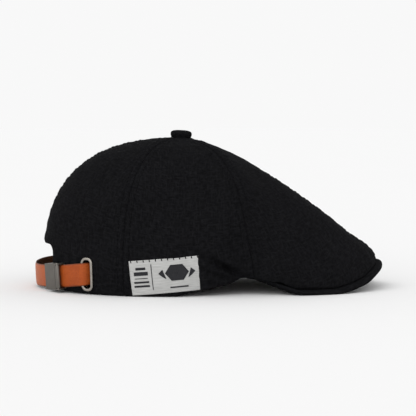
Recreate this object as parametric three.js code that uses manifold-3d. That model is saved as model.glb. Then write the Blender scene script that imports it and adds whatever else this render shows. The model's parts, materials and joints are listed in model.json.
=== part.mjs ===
// A newsboy cap with a duckbill peak: a six-panel cloth crown drawn forward over a stiff peak, a covered
// top button, and a rear opening closed by a leather strap that runs through a lever clasp and tucks
// into a metal grommet. Millimetres, +X to the front, +Z up; the rim stands on z = 0.
import * as THREE from "three";
import { mergeVertices } from "three/addons/utils/BufferGeometryUtils.js";
import Module from "manifold-3d";

const wasm = await Module();
wasm.setup();

// ---- Driving dimensions ----
const BUTTON_X = -23.5; // the panels meet here
const CROWN_TOP = 124.5;
const HEAD_X = -34; // centre of the head oval
const HEAD_LENGTH = 104; // half-length of the head oval
const HEAD_WIDTH = 80; // half-width of the head oval
const PEAK_X = 28; // where the peak outline is widest
const PEAK_REACH = 117; // from there to the tip
const PEAK_WIDTH = 76; // half-width of the peak
const PEAK_SQUARENESS = 2.4; // exponent of the peak's superellipse: 2 is an ellipse
const PEAK_BORDER = 4.5; // how far the peak stands out beyond the crown's hem
const NOTCH = 52; // azimuth where the hem leaves the peak for the head oval
const NOTCH_BLEND = 14; // degrees over which it does so

const CLOTH = 1.8; // shell cloth with its lining
const GAP = 0.3; // between pieces that touch
const SEAMS = { front: 0, notch: 49.5, side: 120, back: 180 };
const NOTCH_SEAM_BOW = 3.2; // degrees by which the notch seam bows back, half-way down
const BUTTON_HOLE = 2.2; // radius left open where the panels meet

const ARCH_HALF_WIDTH = 36.5; // the rear opening
const ARCH_TOP = 37.5;
const ARCH_CORNER = 8;
const BINDING_WIDTH = 9;
const BINDING_THICKNESS = 1;
const BINDING_FOOT = 0.6; // height of its ends above the rim
const BINDING_SPREAD = 29; // degrees each side of the back seam that hold the whole binding

const TAPE_HALF_WIDTH = 6;
const TAPE_THICKNESS = 0.9;
const TAPE_GAP = 0.7; // the flat facets of a tape stand this far off the panels
const TAPE_TOP_RADIUS = 14;

const BAND_HEIGHT = 32; // sweatband
const BAND_THICKNESS = 2;
const BAND_INSET = 4; // from the head oval to the sweatband's outer face at its foot
const BAND_LEAN = 1.5; // its top leans in by this much
const BAND_FOOT = 1.5; // height of its foot above the rim
const BAND_BLEND = 8; // degrees over which its foot comes down from the peak to the rim
const BAND_END = 157; // azimuth where it stops beside the rear opening
const BAND_END_FAR = 154; // it stops sooner on the side where the strap is sewn in

const STRAP_WIDTH = 18;
const STRAP_THICKNESS = 1.8;
const STRAP_HEIGHT = [ // its middle's height, keyed by azimuth counted up round the back
  [-205, 15], [-190, 13.5], [-174, 11.3], [-155.5, 13], [-138.5, 16.6], [-124, 18.6],
];
const CLASP_AZIMUTH = -155.5;

const LABEL = { azimuth: -97.5, height: 17, width: 53.8, tall: 27.2, thickness: 0.8, tilt: 5 };

// ---- Profiles keyed by azimuth in degrees, 0 at the front and 180 at the back, alike on both sides ----
// Bottom silhouette of the whole cap.
const EDGE_HEIGHT = [
  [0, 19.5], [10, 15], [18, 6.5], [27, 1.2], [36, 1.5], [43, 9.5], [48, 12.8],
  [53, 13.4], [60, 9.7], [67, 7.2], [76, 5], [83, 3.5], [91, 0.4], [98, 0], [114, 0], [150, 1.2], [180, 2],
];
// How far the crown's hem is above that silhouette, where it sits on the peak.
const HEM_LIFT = [[0, 3.4], [38, 3.4], [43, 3], [48, 0], [180, 0]];
// The two Bezier handles of each meridian: radius and height of the upper one, then the lower one's
// radius beyond the hem and its height.
const MERIDIAN_HANDLES = [
  [0, 46, 118.4, -38, 62], [25, 55, 119.6, -27.5, 69], [50, 66, 121, 10, 70], [62, 64, 121.5, 14, 70],
  [90, 62, 122.5, 11, 72], [120, 68, 124, 8, 80], [180, 84.5, 125, 7, 84.5],
];
// Roll of cloth just above the front hem.
const NOSE_ROLL = [[0, 2.8], [30, 2.6], [46, 1.2], [56, 0], [180, 0]];
const NOSE_ROLL_START = 0.8; // share of the meridian where it begins
// Peak: thickness, top surface above the silhouette at its edge, top surface height at the forehead.
const PEAK_THICKNESS = [[0, 3.9], [36, 3.9], [44, 3], [54, 3]];
const PEAK_TOP_LIFT = [[0, 2.9], [38, 2.9], [43, 2.6], [54, 2.7]];
const FOREHEAD_HEIGHT = [[0, 30], [25, 26], [50, 17.5]];
const PEAK_TUCK = { from: 37, to: 43, inset: 3.8 }; // its corners slip inside the crown over this azimuth
const PEAK_END = 49.5; // azimuth of its corners
const PEAK_FLAT_MARGIN = 8;

// ---- Colours ----
const finish = (color, roughness, metalness = 0) =>
  new THREE.MeshStandardMaterial({ color, roughness, metalness });
const CLOTH_FINISH = finish(0x18181a, 0.95);
const LINING_FINISH = finish(0x141416, 0.9);
const BOARD_FINISH = finish(0x2a2a2c, 0.6);
const LEATHER_FINISH = finish(0xa5501e, 0.55);
const STEEL_FINISH = finish(0x8d8d8c, 0.35, 1);
const LABEL_FINISH = finish(0xbec0bc, 0.9);

// ---- Small mathematics ----
const radians = THREE.MathUtils.degToRad;
const fold = (azimuth) => Math.abs(((azimuth + 180) % 360 + 360) % 360 - 180);
const ease = (t) => THREE.MathUtils.smoothstep(t, 0, 1);

// Monotone cubic interpolation in a table whose rows begin with the key.
function keyed(table, key) {
  const last = table.length - 1;
  const values = table[0].length - 1;
  const x = Math.min(Math.max(key, table[0][0]), table[last][0]);
  let i = 0;
  while (i < last - 1 && x > table[i + 1][0]) i += 1;
  const step = (k) => table[k + 1][0] - table[k][0];
  const slope = (k, column) => {
    if (k === 0 || k === last) return 0;
    const before = (table[k][column] - table[k - 1][column]) / step(k - 1);
    const after = (table[k + 1][column] - table[k][column]) / step(k);
    if (before * after <= 0) return 0;
    const w0 = 2 * step(k) + step(k - 1);
    const w1 = step(k) + 2 * step(k - 1);
    return (w0 + w1) / (w0 / before + w1 / after);
  };
  const h = step(i);
  const t = (x - table[i][0]) / h;
  const out = [];
  for (let column = 1; column <= values; column += 1) {
    const from = table[i][column];
    const to = table[i + 1][column];
    out.push(from * (1 + 2 * t) * (1 - t) ** 2 + to * t * t * (3 - 2 * t)
      + h * (slope(i, column) * t * (1 - t) ** 2 - slope(i + 1, column) * t * t * (1 - t)));
  }
  return values === 1 ? out[0] : out;
}

const REACHES = [20, 260]; // bounds of every radius of the crown's outline
const SAME_PLACE = 1e-4; // millimetres between points that are one vertex

// The root of a rising function between two bounds.
function solve(rising, low, high) {
  let [a, b] = [low, high];
  for (let i = 0; i < 40; i += 1) {
    const middle = (a + b) / 2;
    if (rising(middle) > 0) b = middle;
    else a = middle;
  }
  return (a + b) / 2;
}

// ---- The crown as a surface ----
function headReach(azimuth) {
  const [c, s] = [Math.cos(radians(azimuth)), Math.sin(radians(azimuth))];
  return solve((r) => ((BUTTON_X + r * c - HEAD_X) / HEAD_LENGTH) ** 2 + (r * s / HEAD_WIDTH) ** 2 - 1, ...REACHES);
}

function peakReach(azimuth, inset = 0) {
  const [c, s] = [Math.cos(radians(azimuth)), Math.abs(Math.sin(radians(azimuth)))];
  const outline = (r) => (Math.max(BUTTON_X + r * c - PEAK_X, 0) / (PEAK_REACH - inset)) ** PEAK_SQUARENESS
    + (r * s / (PEAK_WIDTH - inset)) ** PEAK_SQUARENESS - 1;
  return solve(outline, ...REACHES);
}

function hemReach(azimuth) {
  const a = fold(azimuth);
  const share = ease((a - NOTCH + NOTCH_BLEND / 2) / NOTCH_BLEND);
  return (1 - share) * peakReach(Math.min(a, 80), PEAK_BORDER) + share * headReach(a);
}

const hemHeight = (azimuth) => keyed(EDGE_HEIGHT, fold(azimuth)) + keyed(HEM_LIFT, fold(azimuth));

// A function from t (0 at the button, 1 at the hem) to [radius, height] along one azimuth.
function meridian(azimuth) {
  const a = fold(azimuth);
  const hem = hemReach(a);
  const [upperR, upperZ, lowerR, lowerZ] = keyed(MERIDIAN_HANDLES, a);
  const curve = new THREE.CubicBezierCurve(
    new THREE.Vector2(0, CROWN_TOP), new THREE.Vector2(upperR, upperZ),
    new THREE.Vector2(hem + lowerR, lowerZ), new THREE.Vector2(hem, hemHeight(a)));
  const roll = keyed(NOSE_ROLL, a);
  return (t) => {
    const point = curve.getPoint(t);
    const tangent = curve.getTangent(Math.min(t, 0.9999));
    const along = Math.max(0, (t - NOSE_ROLL_START) / (1 - NOSE_ROLL_START));
    const out = roll * Math.sin(Math.PI * Math.min(along, 1) ** 1.6);
    return [point.x - tangent.y * out, point.y + tangent.x * out];
  };
}

const polar = (azimuth, radius, height) => new THREE.Vector3(
  BUTTON_X + radius * Math.cos(radians(azimuth)), radius * Math.sin(radians(azimuth)), height);

const crownPoint = (azimuth, t) => polar(azimuth, ...meridian(azimuth)(t));

function crownNormal(azimuth, t) {
  const step = 0.004;
  const down = crownPoint(azimuth, Math.min(1, t + step)).sub(crownPoint(azimuth, Math.max(0.002, t - step)));
  const around = crownPoint(azimuth + 0.4, t).sub(crownPoint(azimuth - 0.4, t));
  return down.cross(around).normalize();
}

// The point of the crown's surface at a height, moved outward along the normal.
function onCrown(azimuth, height, outward = 0) {
  const line = meridian(azimuth);
  const t = solve((s) => height - line(s)[1], 0.3, 1);
  return crownPoint(azimuth, t).addScaledVector(crownNormal(azimuth, t), outward);
}

// ---- Solids ----
// A closed solid between two grids of points: face(u, v, side) with side 1 for the outer one, 0 the inner.
function sheet(columns, rows, face) {
  const points = [];
  for (const side of [1, 0]) {
    for (let j = 0; j <= rows; j += 1) {
      for (let i = 0; i <= columns; i += 1) points.push(face(i / columns, j / rows, side));
    }
  }
  const at = (i, j, side) => (1 - side) * (columns + 1) * (rows + 1) + j * (columns + 1) + i;
  const index = [];
  const quad = (a, b, c, d) => index.push(a, b, c, a, c, d);
  for (let j = 0; j < rows; j += 1) {
    for (let i = 0; i < columns; i += 1) {
      quad(at(i, j, 1), at(i + 1, j, 1), at(i + 1, j + 1, 1), at(i, j + 1, 1));
      quad(at(i, j, 0), at(i, j + 1, 0), at(i + 1, j + 1, 0), at(i + 1, j, 0));
    }
  }
  for (let i = 0; i < columns; i += 1) {
    quad(at(i, 0, 0), at(i + 1, 0, 0), at(i + 1, 0, 1), at(i, 0, 1));
    quad(at(i, rows, 1), at(i + 1, rows, 1), at(i + 1, rows, 0), at(i, rows, 0));
  }
  for (let j = 0; j < rows; j += 1) {
    quad(at(0, j, 1), at(0, j + 1, 1), at(0, j + 1, 0), at(0, j, 0));
    quad(at(columns, j, 0), at(columns, j + 1, 0), at(columns, j + 1, 1), at(columns, j, 1));
  }
  const geometry = new THREE.BufferGeometry();
  geometry.setAttribute("position", new THREE.Float32BufferAttribute(points.flatMap((p) => p.toArray()), 3));
  geometry.setIndex(index);
  return outwards(geometry);
}

// The same geometry with its faces turned to point out.
function outwards(geometry) {
  const position = geometry.getAttribute("position");
  const index = geometry.getIndex().array;
  const corner = (k) => new THREE.Vector3().fromBufferAttribute(position, index[k]);
  let volume = 0;
  for (let k = 0; k < index.length; k += 3) volume += corner(k).dot(corner(k + 1).cross(corner(k + 2)));
  if (volume < 0) geometry.setIndex(Array.from(index).reverse());
  return geometry;
}

function withoutShading(geometry) {
  geometry.deleteAttribute("normal");
  geometry.deleteAttribute("uv");
  return geometry;
}

function solidOf(geometry) {
  const plain = mergeVertices(withoutShading(geometry.clone()), SAME_PLACE);
  return new wasm.Manifold(new wasm.Mesh({
    numProp: 3,
    vertProperties: new Float32Array(plain.getAttribute("position").array),
    triVerts: new Uint32Array(plain.getIndex().array),
  }));
}

function geometryOf(solid) {
  const mesh = solid.getMesh();
  const geometry = new THREE.BufferGeometry();
  geometry.setAttribute("position", new THREE.BufferAttribute(mesh.vertProperties, 3));
  geometry.setIndex(new THREE.BufferAttribute(mesh.triVerts, 1));
  return geometry;
}

const extrude = (shape, depth, curveSegments = 6) =>
  new THREE.ExtrudeGeometry(shape, { depth, bevelEnabled: false, curveSegments });

function roundedRectangle(width, height, radius, shape = new THREE.Shape()) {
  const [x, y] = [width / 2, height / 2];
  shape.moveTo(-x + radius, -y);
  shape.lineTo(x - radius, -y);
  shape.absarc(x - radius, -y + radius, radius, -Math.PI / 2, 0);
  shape.absarc(x - radius, y - radius, radius, 0, Math.PI / 2);
  shape.absarc(-x + radius, y - radius, radius, Math.PI / 2, Math.PI);
  shape.absarc(-x + radius, -y + radius, radius, Math.PI, Math.PI * 1.5);
  return shape;
}

// Lays a flat geometry on the crown: its x runs round the crown towards the front on the wearer's
// right, its y up, and its z outward.
function layOnCrown(geometry, azimuth, height, tilt = 0) {
  const middle = onCrown(azimuth, height);
  const perDegree = onCrown(azimuth + 0.5, height).distanceTo(onCrown(azimuth - 0.5, height));
  const rise = onCrown(azimuth, height + 1).distanceTo(middle);
  const [c, s] = [Math.cos(radians(tilt)), Math.sin(radians(tilt))];
  const position = geometry.getAttribute("position");
  for (let k = 0; k < position.count; k += 1) {
    const [x, y] = [position.getX(k), position.getY(k)];
    const point = onCrown(azimuth + (x * c - y * s) / perDegree, height + (x * s + y * c) / rise, position.getZ(k));
    position.setXYZ(k, ...point.toArray());
  }
  return geometry;
}

const cap = new THREE.Group();

function add(name, geometry, material, parent = cap) {
  const mesh = new THREE.Mesh(geometry, material);
  mesh.name = name;
  parent.add(mesh);
  return mesh;
}

// ---- Crown panels ----
// The space behind the rear opening, as a solid that runs through the back of the crown.
function archSolid(margin) {
  const half = ARCH_HALF_WIDTH + margin;
  const top = ARCH_TOP + margin;
  const corner = ARCH_CORNER + margin;
  const shape = new THREE.Shape();
  shape.moveTo(-half, -10);
  shape.lineTo(half, -10);
  shape.lineTo(half, top - corner);
  shape.absarc(half - corner, top - corner, corner, 0, Math.PI / 2);
  shape.absarc(-half + corner, top - corner, corner, Math.PI / 2, Math.PI);
  const geometry = extrude(shape, 80, 5);
  geometry.rotateX(Math.PI / 2).rotateZ(Math.PI / 2);
  geometry.translate(HEAD_X - HEAD_LENGTH - 30, 0, 0);
  return solidOf(geometry);
}

// The azimuth of a seam at t: only the notch seam bows.
function seamAt(azimuth, t) {
  const bow = fold(azimuth) === SEAMS.notch ? NOTCH_SEAM_BOW * Math.sin(Math.PI * t ** 1.7) : 0;
  return azimuth + bow * Math.sign(azimuth);
}

// A panel between two seams, from the button to the hem.
function panelGeometry(seamA, seamB, columns, rows) {
  return sheet(columns, rows, (u, v, side) => {
    const rough = seamA + (seamB - seamA) * u;
    const [upperR] = keyed(MERIDIAN_HANDLES, fold(rough));
    const start = BUTTON_HOLE / (3 * upperR);
    const t = start + (1 - start) * v;
    const radius = meridian(rough)(t)[0];
    const margin = THREE.MathUtils.radToDeg(GAP / 2 / radius) * Math.sign(seamB - seamA);
    const [from, to] = [seamAt(seamA, t) + margin, seamAt(seamB, t) - margin];
    const azimuth = from + (to - from) * u;
    const outer = crownPoint(azimuth, t);
    if (side) return outer;
    const inner = outer.clone().addScaledVector(crownNormal(azimuth, t), -CLOTH);
    if (v === 1) inner.z = outer.z;
    return inner;
  });
}

const SIDES = { right: -1, left: 1 }; // the wearer's sides
const PANELS = { front: [SEAMS.front, SEAMS.notch], middle: [SEAMS.notch, SEAMS.side], rear: [SEAMS.side, SEAMS.back] };
const PANEL_COLUMNS = { front: 18, middle: 12, rear: 14 };
const PANEL_ROWS = { front: 14, middle: 10, rear: 10 };

// The slit that the strap's tail goes through, inside the grommet.
const GROMMET = {
  azimuth: -138.5, height: 16.4, width: 10.8, tall: 26.8, bar: 2.1, corner: 4.8, ring: 1.6, washer: 1.2,
};
const slitOutline = (grow, shape) => roundedRectangle(GROMMET.width - 2 * GROMMET.bar + grow,
  GROMMET.tall - 2 * GROMMET.bar + grow, GROMMET.corner - GROMMET.bar + grow / 2, shape);

function slitSolid() {
  const geometry = extrude(slitOutline(2 * GAP), 8, 4).translate(0, 0, -4);
  return solidOf(layOnCrown(geometry, GROMMET.azimuth, GROMMET.height));
}

for (const [side, sign] of Object.entries(SIDES)) {
  for (const [place, [from, to]] of Object.entries(PANELS)) {
    let geometry = panelGeometry(sign * from, sign * to, PANEL_COLUMNS[place], PANEL_ROWS[place]);
    if (place === "rear") {
      let solid = solidOf(geometry).subtract(archSolid(0));
      if (side === "right") solid = solid.subtract(slitSolid());
      geometry = geometryOf(solid);
    }
    add(`crown_${place}_panel_${side}`, geometry, CLOTH_FINISH);
  }
}

// ---- Seam tapes, binding and sweatband ----
const TAPE_ENDS = { front: 42, notch: 50, side: 4, back: ARCH_TOP + BINDING_WIDTH + 3 };

function seamTape(azimuth, endHeight) {
  const line = meridian(azimuth);
  const start = solve((t) => line(t)[0] - TAPE_TOP_RADIUS, 0, 1);
  const end = solve((t) => endHeight - line(t)[1], 0.3, 1);
  return sheet(2, 14, (u, v, side) => {
    const t = start + (end - start) * v;
    const sideways = THREE.MathUtils.radToDeg((u - 0.5) * 2 * TAPE_HALF_WIDTH / line(t)[0]);
    const depth = CLOTH + TAPE_GAP + (side ? 0 : TAPE_THICKNESS);
    const across = seamAt(azimuth, t) + sideways;
    return crownPoint(across, t).addScaledVector(crownNormal(across, t), -depth);
  });
}

add("seam_tape_front", seamTape(SEAMS.front, TAPE_ENDS.front), LINING_FINISH);
add("seam_tape_back", seamTape(SEAMS.back, TAPE_ENDS.back), LINING_FINISH);
for (const [side, sign] of Object.entries(SIDES)) {
  add(`seam_tape_notch_${side}`, seamTape(sign * SEAMS.notch, TAPE_ENDS.notch), LINING_FINISH);
  add(`seam_tape_side_${side}`, seamTape(sign * SEAMS.side, TAPE_ENDS.side), LINING_FINISH);
}

function archBinding() {
  const shell = sheet(14, 6, (u, v, side) => {
    const azimuth = SEAMS.back + BINDING_SPREAD * (2 * u - 1);
    const depth = CLOTH + TAPE_GAP + (side ? 0 : BINDING_THICKNESS);
    const low = hemHeight(azimuth) + BINDING_FOOT;
    const high = ARCH_TOP + BINDING_WIDTH + 4;
    return onCrown(azimuth, low + (high - low) * v, -depth);
  });
  return geometryOf(solidOf(shell).intersect(archSolid(BINDING_WIDTH)).subtract(archSolid(0)));
}
add("rear_opening_binding", archBinding(), LINING_FINISH);

// How far the sweatband is pushed in: it bulges over the strap's tucked tail.
const BAND_BULGE = [[-157, 3], [-150, 4.2], [-130, 4.2], [-116, 0], [180, 0]];

function sweatbandPoint(u, v, side) {
  const azimuth = -BAND_END + (BAND_END + BAND_END_FAR) * u;
  const a = fold(azimuth);
  const outer = headReach(a) - BAND_INSET - BAND_LEAN * v - keyed(BAND_BULGE, azimuth);
  const radius = side ? outer : outer - BAND_THICKNESS;
  const onRim = hemHeight(a) + BAND_FOOT;
  const onPeak = keyed(FOREHEAD_HEIGHT, a) - keyed(PEAK_THICKNESS, a);
  const share = ease((a - PEAK_END) / BAND_BLEND);
  return polar(azimuth, radius, onPeak * (1 - share) + onRim * share + BAND_HEIGHT * v);
}
add("sweatband", sheet(60, 2, sweatbandPoint), LINING_FINISH);

// ---- Peak ----
function peakOuter(azimuth) {
  const a = fold(azimuth);
  const share = ease((a - PEAK_TUCK.from) / (PEAK_TUCK.to - PEAK_TUCK.from));
  return (1 - share) * peakReach(a) + share * (hemReach(a) - PEAK_TUCK.inset);
}
const peakInner = (azimuth) => headReach(fold(azimuth)) - BAND_INSET + GAP;

// A point of the peak at an azimuth. Its depth below the top surface is a share of the thickness. From the
// edge, or a margin inside it, the first share across (FLAT_SHARE) covers the flat margin.
const FLAT_SHARE = 0.2;
function peakPoint(azimuth, across, depth, margin) {
  const a = fold(azimuth);
  const width = peakOuter(a) - peakInner(a);
  const flat = Math.min(PEAK_FLAT_MARGIN, width * 0.6);
  const rise = Math.max(0, (across - FLAT_SHARE) / (1 - FLAT_SHARE));
  const inward = Math.min(across / FLAT_SHARE, 1) * (flat - margin) + margin + rise * (width - flat);
  const edge = keyed(EDGE_HEIGHT, a) + keyed(PEAK_TOP_LIFT, a);
  const top = edge + (keyed(FOREHEAD_HEIGHT, a) - edge) * rise;
  return polar(azimuth, peakOuter(a) - inward, top - depth * keyed(PEAK_THICKNESS, a));
}

const LIP = 1.8; // width of the upper cover's turned-down lip
const LAYERS = { cover: [0, 0.22], board: [0.32, 0.66], under: [0.76, 0.98] };

function peakLayer([top, bottom], margin) {
  return sheet(36, 5, (u, v, side) => peakPoint((2 * u - 1) * PEAK_END, v, side ? top : bottom, margin));
}

function peakLip() {
  return sheet(36, 1, (u, v, side) => {
    const depth = side ? LAYERS.cover[1] / 2 : 1;
    return peakPoint((2 * u - 1) * PEAK_END, 0, depth, LIP * v);
  });
}
const cover = solidOf(peakLayer(LAYERS.cover, 0)).add(solidOf(peakLip()));
add("peak_upper_cover", geometryOf(cover), CLOTH_FINISH);
add("peak_board", peakLayer(LAYERS.board, LIP + GAP), BOARD_FINISH);
add("peak_under_cover", peakLayer(LAYERS.under, LIP + GAP), CLOTH_FINISH);

// ---- Top button ----
const BUTTON = { radius: 8.5, height: 6.4, skin: 1, post: 1.7, washer: 9, tilt: 3 };
const ROUND_STEPS = 28;

const lathe = (profile) => {
  const geometry = new THREE.LatheGeometry(profile.map(([x, y]) => new THREE.Vector2(x, y)), ROUND_STEPS);
  return outwards(mergeVertices(withoutShading(geometry), SAME_PLACE)).rotateX(Math.PI / 2);
};

// Points of a low dome from its rim up to the axis.
function dome(radius, height, base) {
  const steps = 6;
  const points = [];
  for (let i = 0; i <= steps; i += 1) {
    const angle = (Math.PI / 2) * (i / steps);
    points.push([radius * Math.cos(angle) ** 0.8, base + (height - base) * Math.sin(angle)]);
  }
  points[steps][0] = 0;
  return points;
}

const button = new THREE.Group();
button.position.set(BUTTON_X, 0, CROWN_TOP + 0.5);
button.rotation.y = radians(BUTTON.tilt);
cap.add(button);
const buttonInner = BUTTON.radius - BUTTON.skin;
add("button_cloth_cover", lathe([
  [buttonInner, 0.2], [BUTTON.radius - 0.5, 0.2], ...dome(BUTTON.radius, BUTTON.height, 1.6),
  ...dome(buttonInner, BUTTON.height - BUTTON.skin, 1.6).reverse(), [buttonInner, 0.2],
]), CLOTH_FINISH, button);
const formerRadius = buttonInner - GAP;
add("button_former", lathe([
  [BUTTON.post + GAP, 0.4], [formerRadius, 0.4], ...dome(formerRadius, BUTTON.height - BUTTON.skin - GAP, 1.6),
  [0, 3.4], [BUTTON.post + GAP, 3.4], [BUTTON.post + GAP, 0.4],
]), STEEL_FINISH, button);
const washerTop = -CLOTH - 2; // below the steepest cloth under the button
add("button_rivet", lathe([
  [0, 3.1], [BUTTON.post, 3.1], [BUTTON.post, washerTop - 1.4], [4, washerTop - 1.4], [4, washerTop - 2.2],
  [0, washerTop - 2.6],
]), STEEL_FINISH, button);
add("button_washer", lathe([
  [BUTTON.post + GAP, washerTop], [BUTTON.washer, washerTop - 0.3], [BUTTON.washer, washerTop - 1.1],
  [BUTTON.post + GAP, washerTop - 1.1], [BUTTON.post + GAP, washerTop],
]), STEEL_FINISH, button);

// ---- Grommet ----
function grommetRing(depth) {
  const shape = roundedRectangle(GROMMET.width, GROMMET.tall, GROMMET.corner);
  shape.holes.push(slitOutline(0, new THREE.Path()));
  return extrude(shape, depth, 5);
}
const onGrommet = (geometry) => layOnCrown(geometry, GROMMET.azimuth, GROMMET.height);
add("grommet_face", onGrommet(grommetRing(GROMMET.ring).translate(0, 0, GAP)), STEEL_FINISH);
add("grommet_backing_washer",
  onGrommet(grommetRing(GROMMET.washer).translate(0, 0, -CLOTH - TAPE_GAP - GROMMET.washer)), STEEL_FINISH);

// ---- Strap: its middle's distance outward from the crown, keyed by azimuth counted up round the back ----
const STRAP_OUT = [
  [-205, -4.9], [-199.2, -4.7], [-194, -1.2], [-188.5, 3.4], [-180, 6.3], [-173, 5.8], [-166.5, 4.1],
  [-160.5, 3.1], [-140.2, 3.1], [-136.7, -5.4], [-124, -5.4],
];
const STRAP_STEPS = 96;
add("strap", sheet(STRAP_STEPS, 2, (u, v, side) => {
  const [from, to] = [STRAP_OUT[0][0], STRAP_OUT[STRAP_OUT.length - 1][0]];
  const azimuth = from + (to - from) * u;
  const height = keyed(STRAP_HEIGHT, azimuth) + (v - 0.5) * STRAP_WIDTH;
  return onCrown(azimuth, height, keyed(STRAP_OUT, azimuth) + (side - 0.5) * STRAP_THICKNESS);
}), LEATHER_FINISH);

// Short leather tab, sewn inside the opening's edge, that carries the clasp.
const TAB_OUT = [[-163.6, -0.5], [-162.6, -0.9], [-160.6, -4.9], [-150, -4.9]];
const TAB_WIDTH = 15;
const TAB_THICKNESS = 1.3;
add("clasp_tab", sheet(16, 2, (u, v, side) => {
  const azimuth = TAB_OUT[0][0] + (TAB_OUT[3][0] - TAB_OUT[0][0]) * u;
  const height = keyed(STRAP_HEIGHT, azimuth) + (v - 0.5) * TAB_WIDTH;
  return onCrown(azimuth, height, keyed(TAB_OUT, azimuth) + (side - 0.5) * TAB_THICKNESS);
}), LEATHER_FINISH);

// ---- Clasp: a channel that the strap runs through, and a cam lever hinged across its front end ----
const CLASP = { rear: -8.5, front: 9.2, half: 10.6, wall: 1, floor: 0.7, rail: 5.3, tongue: -12, tongueHalf: 7.5 };
const PIN = { x: 7.2, z: 6.6, radius: 0.8 };
const LEVER = { eye: 1.1, cam: 1.8, eccentric: 0.35, plate: 1, free: -9.4, shoulder: 4.6, half: 9.1 };

const clasp = new THREE.Group();
const underStrap = (azimuth, above = 0) => onCrown(azimuth, keyed(STRAP_HEIGHT, azimuth) + above);
const claspAt = underStrap(CLASP_AZIMUTH);
const claspForward = underStrap(CLASP_AZIMUTH + 1).sub(underStrap(CLASP_AZIMUTH - 1)).normalize();
const claspUp = underStrap(CLASP_AZIMUTH, 5).sub(claspAt);
const claspOut = claspForward.clone().cross(claspUp).normalize();
claspUp.crossVectors(claspOut, claspForward);
clasp.matrix.makeBasis(claspForward, claspUp, claspOut).setPosition(claspAt);
clasp.matrix.decompose(clasp.position, clasp.quaternion, clasp.scale);
cap.add(clasp);

// A profile drawn in the clasp's length (x) and thickness (z), extruded across its width between two y.
function acrossClasp(shape, yFrom, yTo) {
  const geometry = extrude(shape, yTo - yFrom, 10);
  return geometry.rotateX(Math.PI / 2).translate(0, yTo, 0);
}

function polygon(points, shape = new THREE.Shape()) {
  points.forEach(([x, z], i) => (i ? shape.lineTo(x, z) : shape.moveTo(x, z)));
  shape.closePath();
  return shape;
}

function claspFrame() {
  const floorTop = GAP + CLASP.floor;
  const floor = acrossClasp(polygon([[CLASP.rear, GAP], [CLASP.front, GAP],
    [CLASP.front, floorTop], [CLASP.rear, floorTop]]), -CLASP.half, CLASP.half);
  const wall = polygon([[CLASP.rear, GAP], [CLASP.front, GAP], [CLASP.front, PIN.z]]);
  wall.curves.pop();
  wall.absarc(PIN.x, PIN.z, CLASP.front - PIN.x, 0, Math.PI);
  wall.lineTo(2 * PIN.x - CLASP.front, CLASP.rail);
  wall.lineTo(CLASP.rear, CLASP.rail);
  wall.closePath();
  const bore = new THREE.Path();
  bore.absarc(PIN.x, PIN.z, PIN.radius + GAP, 0, Math.PI * 2);
  wall.holes.push(bore);
  const tongue = acrossClasp(polygon([[CLASP.tongue, GAP], [CLASP.rear + 1, GAP],
    [CLASP.rear + 1, floorTop], [CLASP.tongue, floorTop]]), -CLASP.tongueHalf, CLASP.tongueHalf);
  let solid = solidOf(floor).add(solidOf(tongue));
  for (const y of [-CLASP.half, CLASP.half - CLASP.wall]) {
    solid = solid.add(solidOf(acrossClasp(wall, y, y + CLASP.wall)));
  }
  return geometryOf(solid);
}
add("clasp_frame", claspFrame(), STEEL_FINISH, clasp);

const pin = new THREE.CylinderGeometry(PIN.radius, PIN.radius, 2 * CLASP.half + 0.6, 16);
add("clasp_pin", pin.translate(PIN.x, 0, PIN.z), STEEL_FINISH, clasp);

function claspLever() {
  const camRound = new THREE.Shape();
  camRound.absarc(PIN.x, PIN.z - LEVER.eccentric, LEVER.cam, 0, Math.PI * 2);
  const plateLow = PIN.z - LEVER.plate / 2;
  const plateHigh = PIN.z + LEVER.plate / 2;
  const arm = polygon([[LEVER.shoulder - 1, plateLow], [PIN.x - LEVER.eye - GAP, plateLow],
    [PIN.x - LEVER.eye - GAP, plateHigh], [LEVER.shoulder - 1, plateHigh]]);
  const plate = polygon([[LEVER.free, plateLow + 0.5], [LEVER.free + 1.4, plateLow], [LEVER.shoulder, plateLow],
    [LEVER.shoulder, plateHigh], [LEVER.free + 1.4, plateHigh], [LEVER.free, plateHigh + 0.7]]);
  const solid = solidOf(acrossClasp(camRound, -LEVER.half, LEVER.half))
    .add(solidOf(acrossClasp(arm, -LEVER.half, LEVER.half)))
    .add(solidOf(acrossClasp(plate, -CLASP.half, CLASP.half)));
  const hole = new THREE.Shape();
  hole.absarc(PIN.x, PIN.z, LEVER.eye, 0, Math.PI * 2);
  return geometryOf(solid.subtract(solidOf(acrossClasp(hole, -CLASP.half - 1, CLASP.half + 1))));
}
add("clasp_lever", claspLever(), STEEL_FINISH, clasp);

// ---- Side label ----
const labelPlate = sheet(14, 6, (u, v, side) => new THREE.Vector3(
  (u - 0.5) * LABEL.width, (v - 0.5) * LABEL.tall, GAP + (side ? LABEL.thickness : 0)));
add("side_label", layOnCrown(labelPlate, LABEL.azimuth, LABEL.height, LABEL.tilt), LABEL_FINISH);

// The origin is at the bottom centre of the whole cap.
cap.updateMatrixWorld(true);
const extent = new THREE.Box3().setFromObject(cap, true);
cap.position.set(-(extent.min.x + extent.max.x) / 2, -(extent.min.y + extent.max.y) / 2, -extent.min.z);

export default cap;
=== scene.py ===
"""A black newsboy cap with a duckbill peak: six sewn crown panels over a stiff peak, a covered button,
a woven side label, and a leather strap that runs through a lever clasp and tucks into a grommet."""

import json
import math

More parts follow.
